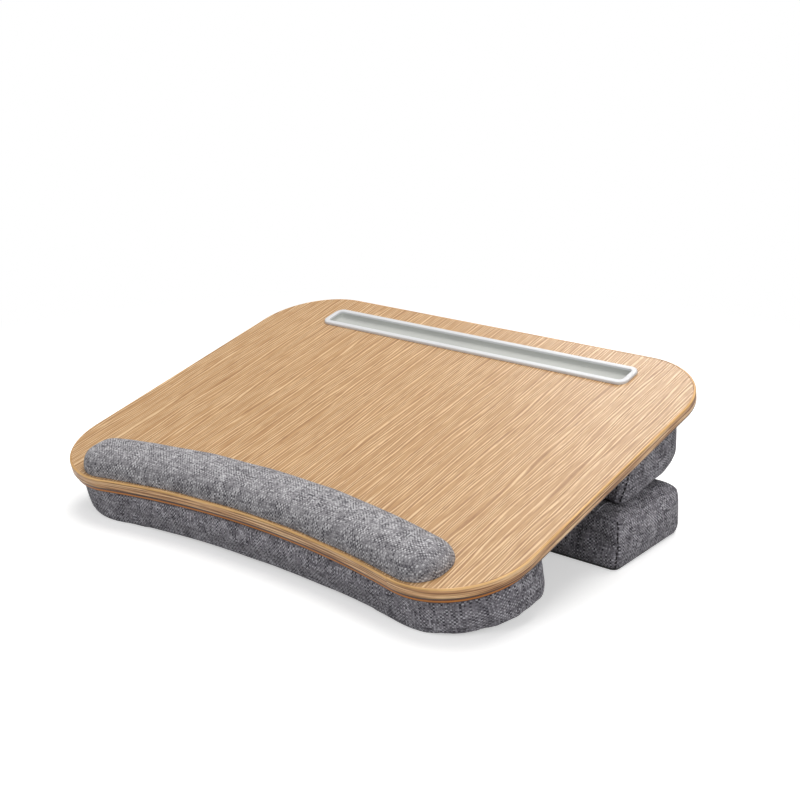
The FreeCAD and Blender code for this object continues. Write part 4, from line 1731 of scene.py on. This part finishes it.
def make_finishes(tilt: float) -> Finishes:
    """Make every material.

    Args:
        tilt: The board's lean in radians, along which the oak's grain and the weave lie.

    Returns:
        The materials by their names.
    """
    grey = (tint(56, 54, 61), tint(132, 129, 136), tint(208, 206, 213))
    pad_grey = (tint(76, 74, 80), tint(142, 140, 144), tint(208, 207, 210))
    # edge band: grain tones, then a painted arris highlight and a painted shadow at its foot,
    # partly a dark glue line
    band = (tint(114, 70, 40), tint(207, 156, 106), tint(244, 205, 156))
    band += (tint(238, 192, 122), tint(40, 16, 4))
    # base panel: dark browns that paint the shade under the board's edge, an orange line of painted
    # highlight, and a painted shadow at its foot
    base = (tint(36, 16, 4), tint(66, 32, 8), tint(104, 56, 16))
    base += (tint(204, 122, 30), tint(28, 12, 4))
    recipes = (
        OakSheet("oak_sheet", tint(230, 197, 154), tint(193, 151, 105), tint(146, 101, 60), tilt),
        EdgeWood("edge_wood", *band, arris=0.0099, foot=0.0027),
        EdgeWood("base_wood", *base, arris=0.0019, foot=0.0006, width=0.0009, highlight_share=0.78),
        Fibreboard("core_board", tint(176, 140, 98), tint(138, 102, 66)),
        Linen("pad_linen", *pad_grey, tilt),
        Linen("cushion_linen", *grey, tilt),
        Linen("riser_linen", *grey),
        Moulding("white_moulding", tint(219, 220, 222), tint(208, 209, 213), 0.3),
        Moulding("grey_moulding", tint(190, 192, 188), tint(180, 182, 179), 0.5),
        Moulding("black_sheet", tint(38, 38, 40), tint(52, 52, 55), 0.6),
        Moulding("adhesive_strip", tint(224, 222, 214), tint(208, 206, 196), 0.7),
        # near-black stitches: partly their own colour, partly painted shade that darkens the seam's
        # groove
        Moulding("thread", tint(26, 24, 28), tint(44, 42, 46), 0.75, 0.0001),
        Zinc("zinc_steel", tint(190, 192, 196)),
        GripTape("grip_tape", tint(12, 12, 13), tint(46, 46, 48)),
    )
    return {recipe.name: recipe.material() for recipe in recipes}


# the nodes that keep their solid shape, and what they wear
KEPT_SOLIDS = {
    "top_laminate": "oak_sheet",
    "board_core": "core_board",
    "panel_screws": "zinc_steel",
    "wrist_pad_backing": "black_sheet",
    "wrist_pad_tapes": "adhesive_strip",
    "riser_panel": "black_sheet",
    "hook_tapes": "grip_tape",
    "loop_tapes": "grip_tape",
}


@dataclass(frozen=True)
class Lamp:
    """A soft square lamp that looks at the desk."""

    name: str
    place: Triple
    size: float
    power: float
    colour: Triple = (1.0, 1.0, 1.0)

    def build(self, target: Vector) -> None:
        """Hang the lamp.

        Args:
            target: What it looks at.
        """
        data = bpy.data.lights.new(self.name, "AREA")
        data.size = self.size
        data.energy = self.power
        data.color = self.colour
        lamp = bpy.data.objects.new(self.name, data)
        lamp.location = self.place
        lamp.rotation_euler = (target - Vector(self.place)).to_track_quat("-Z", "Y").to_euler()
        bpy.context.scene.collection.objects.link(lamp)


@dataclass
class Studio:
    """Camera at the photograph's viewing angle, pale floor and soft light."""

    camera_place: Triple = (0.681525, -0.817484, 0.442446)
    camera_yaw: float = 38.803
    camera_pitch: float = 18.23
    camera_roll: float = -0.507
    lens: float = 63.24
    sensor: float = 36.0
    floor_half: float = 6.0
    floor_fade: tuple[float, float] = (0.32, 0.75)
    floor_bounce: float = 168
    floor_tone: float = 236
    floor_glow: float = 0.46
    world: float = 0.26
    lamps: tuple[Lamp, ...] = (
        Lamp("key", (0.0, 0.4, 2.1), 1.8, 36.5, (1.0, 0.985, 0.965)),
        Lamp("rear_left", (-0.73, 1.68, 1.43), 0.8, 8.0),
        Lamp("front", (0.2, -2.0, 1.15), 1.6, 13.0),
        Lamp("right", (2.0, -0.4, 1.0), 1.4, 11.0),
    )

    def camera(self) -> None:
        """Put up the camera: it rolls, tips down from the horizon and turns left from +Y."""
        data = bpy.data.cameras.new("camera")
        data.lens = self.lens
        data.sensor_width = self.sensor
        camera = bpy.data.objects.new("camera", data)
        camera.location = self.camera_place
        turn = Matrix.Rotation(math.radians(self.camera_yaw), 3, "Z")
        turn @= Matrix.Rotation(math.radians(90 - self.camera_pitch), 3, "X")
        turn @= Matrix.Rotation(math.radians(self.camera_roll), 3, "Z")
        camera.rotation_euler = turn.to_euler()
        scene = bpy.context.scene
        scene.collection.objects.link(camera)
        scene.camera = camera

    def floor(self) -> None:
        """Lay a floor that the camera sees as white and that lights the object as pale grey."""
        corners = self.floor_half * np.array([(-1, -1, 0), (1, -1, 0), (1, 1, 0), (-1, 1, 0)])
        floor = new_piece("floor", corners, [[0, 1, 2, 3]])
        graph = Graph("floor_white")
        seen = graph.node("ShaderNodeLightPath", output="Is Camera Ray")
        for name in ("Is Glossy Ray", "Is Transmission Ray"):
            seen = seen.larger(graph.node("ShaderNodeLightPath", output=name))
        length = {"operation": "LENGTH"}
        far = graph.node("ShaderNodeVectorMath", length, {0: graph.place()}, "Value")
        tones = (tint(tone, tone, tone) for tone in (self.floor_bounce, self.floor_tone))
        bounce, paint = (
            graph.node("ShaderNodeBsdfDiffuse", None, {"Color": tone}) for tone in tones
        )
        glow = graph.node("ShaderNodeEmission", None, {"Strength": self.floor_glow})
        lit = graph.node("ShaderNodeAddShader", None, {0: paint, 1: glow})
        white = graph.node("ShaderNodeEmission", None, {"Strength": 1.0})
        fade = far.rise(*self.floor_fade)
        shown = graph.node("ShaderNodeMixShader", None, {0: fade, 1: lit, 2: white})
        mixed = graph.node("ShaderNodeMixShader", None, {0: seen, 1: bounce, 2: shown})
        graph.node("ShaderNodeOutputMaterial", None, {"Surface": mixed})
        wear(floor, graph.owner)
        floor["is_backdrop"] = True

    def light(self) -> None:
        """Hang the lamps in a world that the camera sees as white."""
        lo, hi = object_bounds()
        for lamp in self.lamps:
            lamp.build((lo + hi) / 2)
        world = bpy.data.worlds.new("studio")
        bpy.context.scene.world = world
        graph = Graph(world)
        seen = graph.node("ShaderNodeLightPath", output="Is Camera Ray")
        share = {"Value": seen, "To Min": self.world, "To Max": 1.0}
        strength = graph.node("ShaderNodeMapRange", None, share, "Result")
        white = {"Color": (1, 1, 1, 1), "Strength": strength}
        sky = graph.node("ShaderNodeBackground", None, white)
        graph.node("ShaderNodeOutputWorld", None, {"Surface": sky})

    def build(self) -> None:
        """Set up the whole studio."""
        self.camera()
        self.floor()
        self.light()
        bpy.context.scene.view_settings.view_transform = "Standard"


def main() -> None:
    """Load the frame, build every piece around it and set up the studio."""
    logging.basicConfig(level=logging.INFO, format="%(message)s")
    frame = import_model()
    lean = Lean.from_record(frame["record"])
    finishes = make_finishes(lean.tilt)
    for node, finish in KEPT_SOLIDS.items():
        wear(frame["nodes"][node], finishes[finish])
    low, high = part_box("riser_cover")
    Board(lean).build(finishes)
    Tray(lean).build(finishes)
    WristPad(lean).build(finishes)
    FrontCushion(lean).build(finishes)
    Riser(low.y).build(finishes)
    RearCushion(lean).build(finishes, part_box("riser_hinge_strip")[1].z)
    HingeStrip(low.y, high.z).build(finishes)
    Studio().build()


if __name__ == "__main__":
    main()
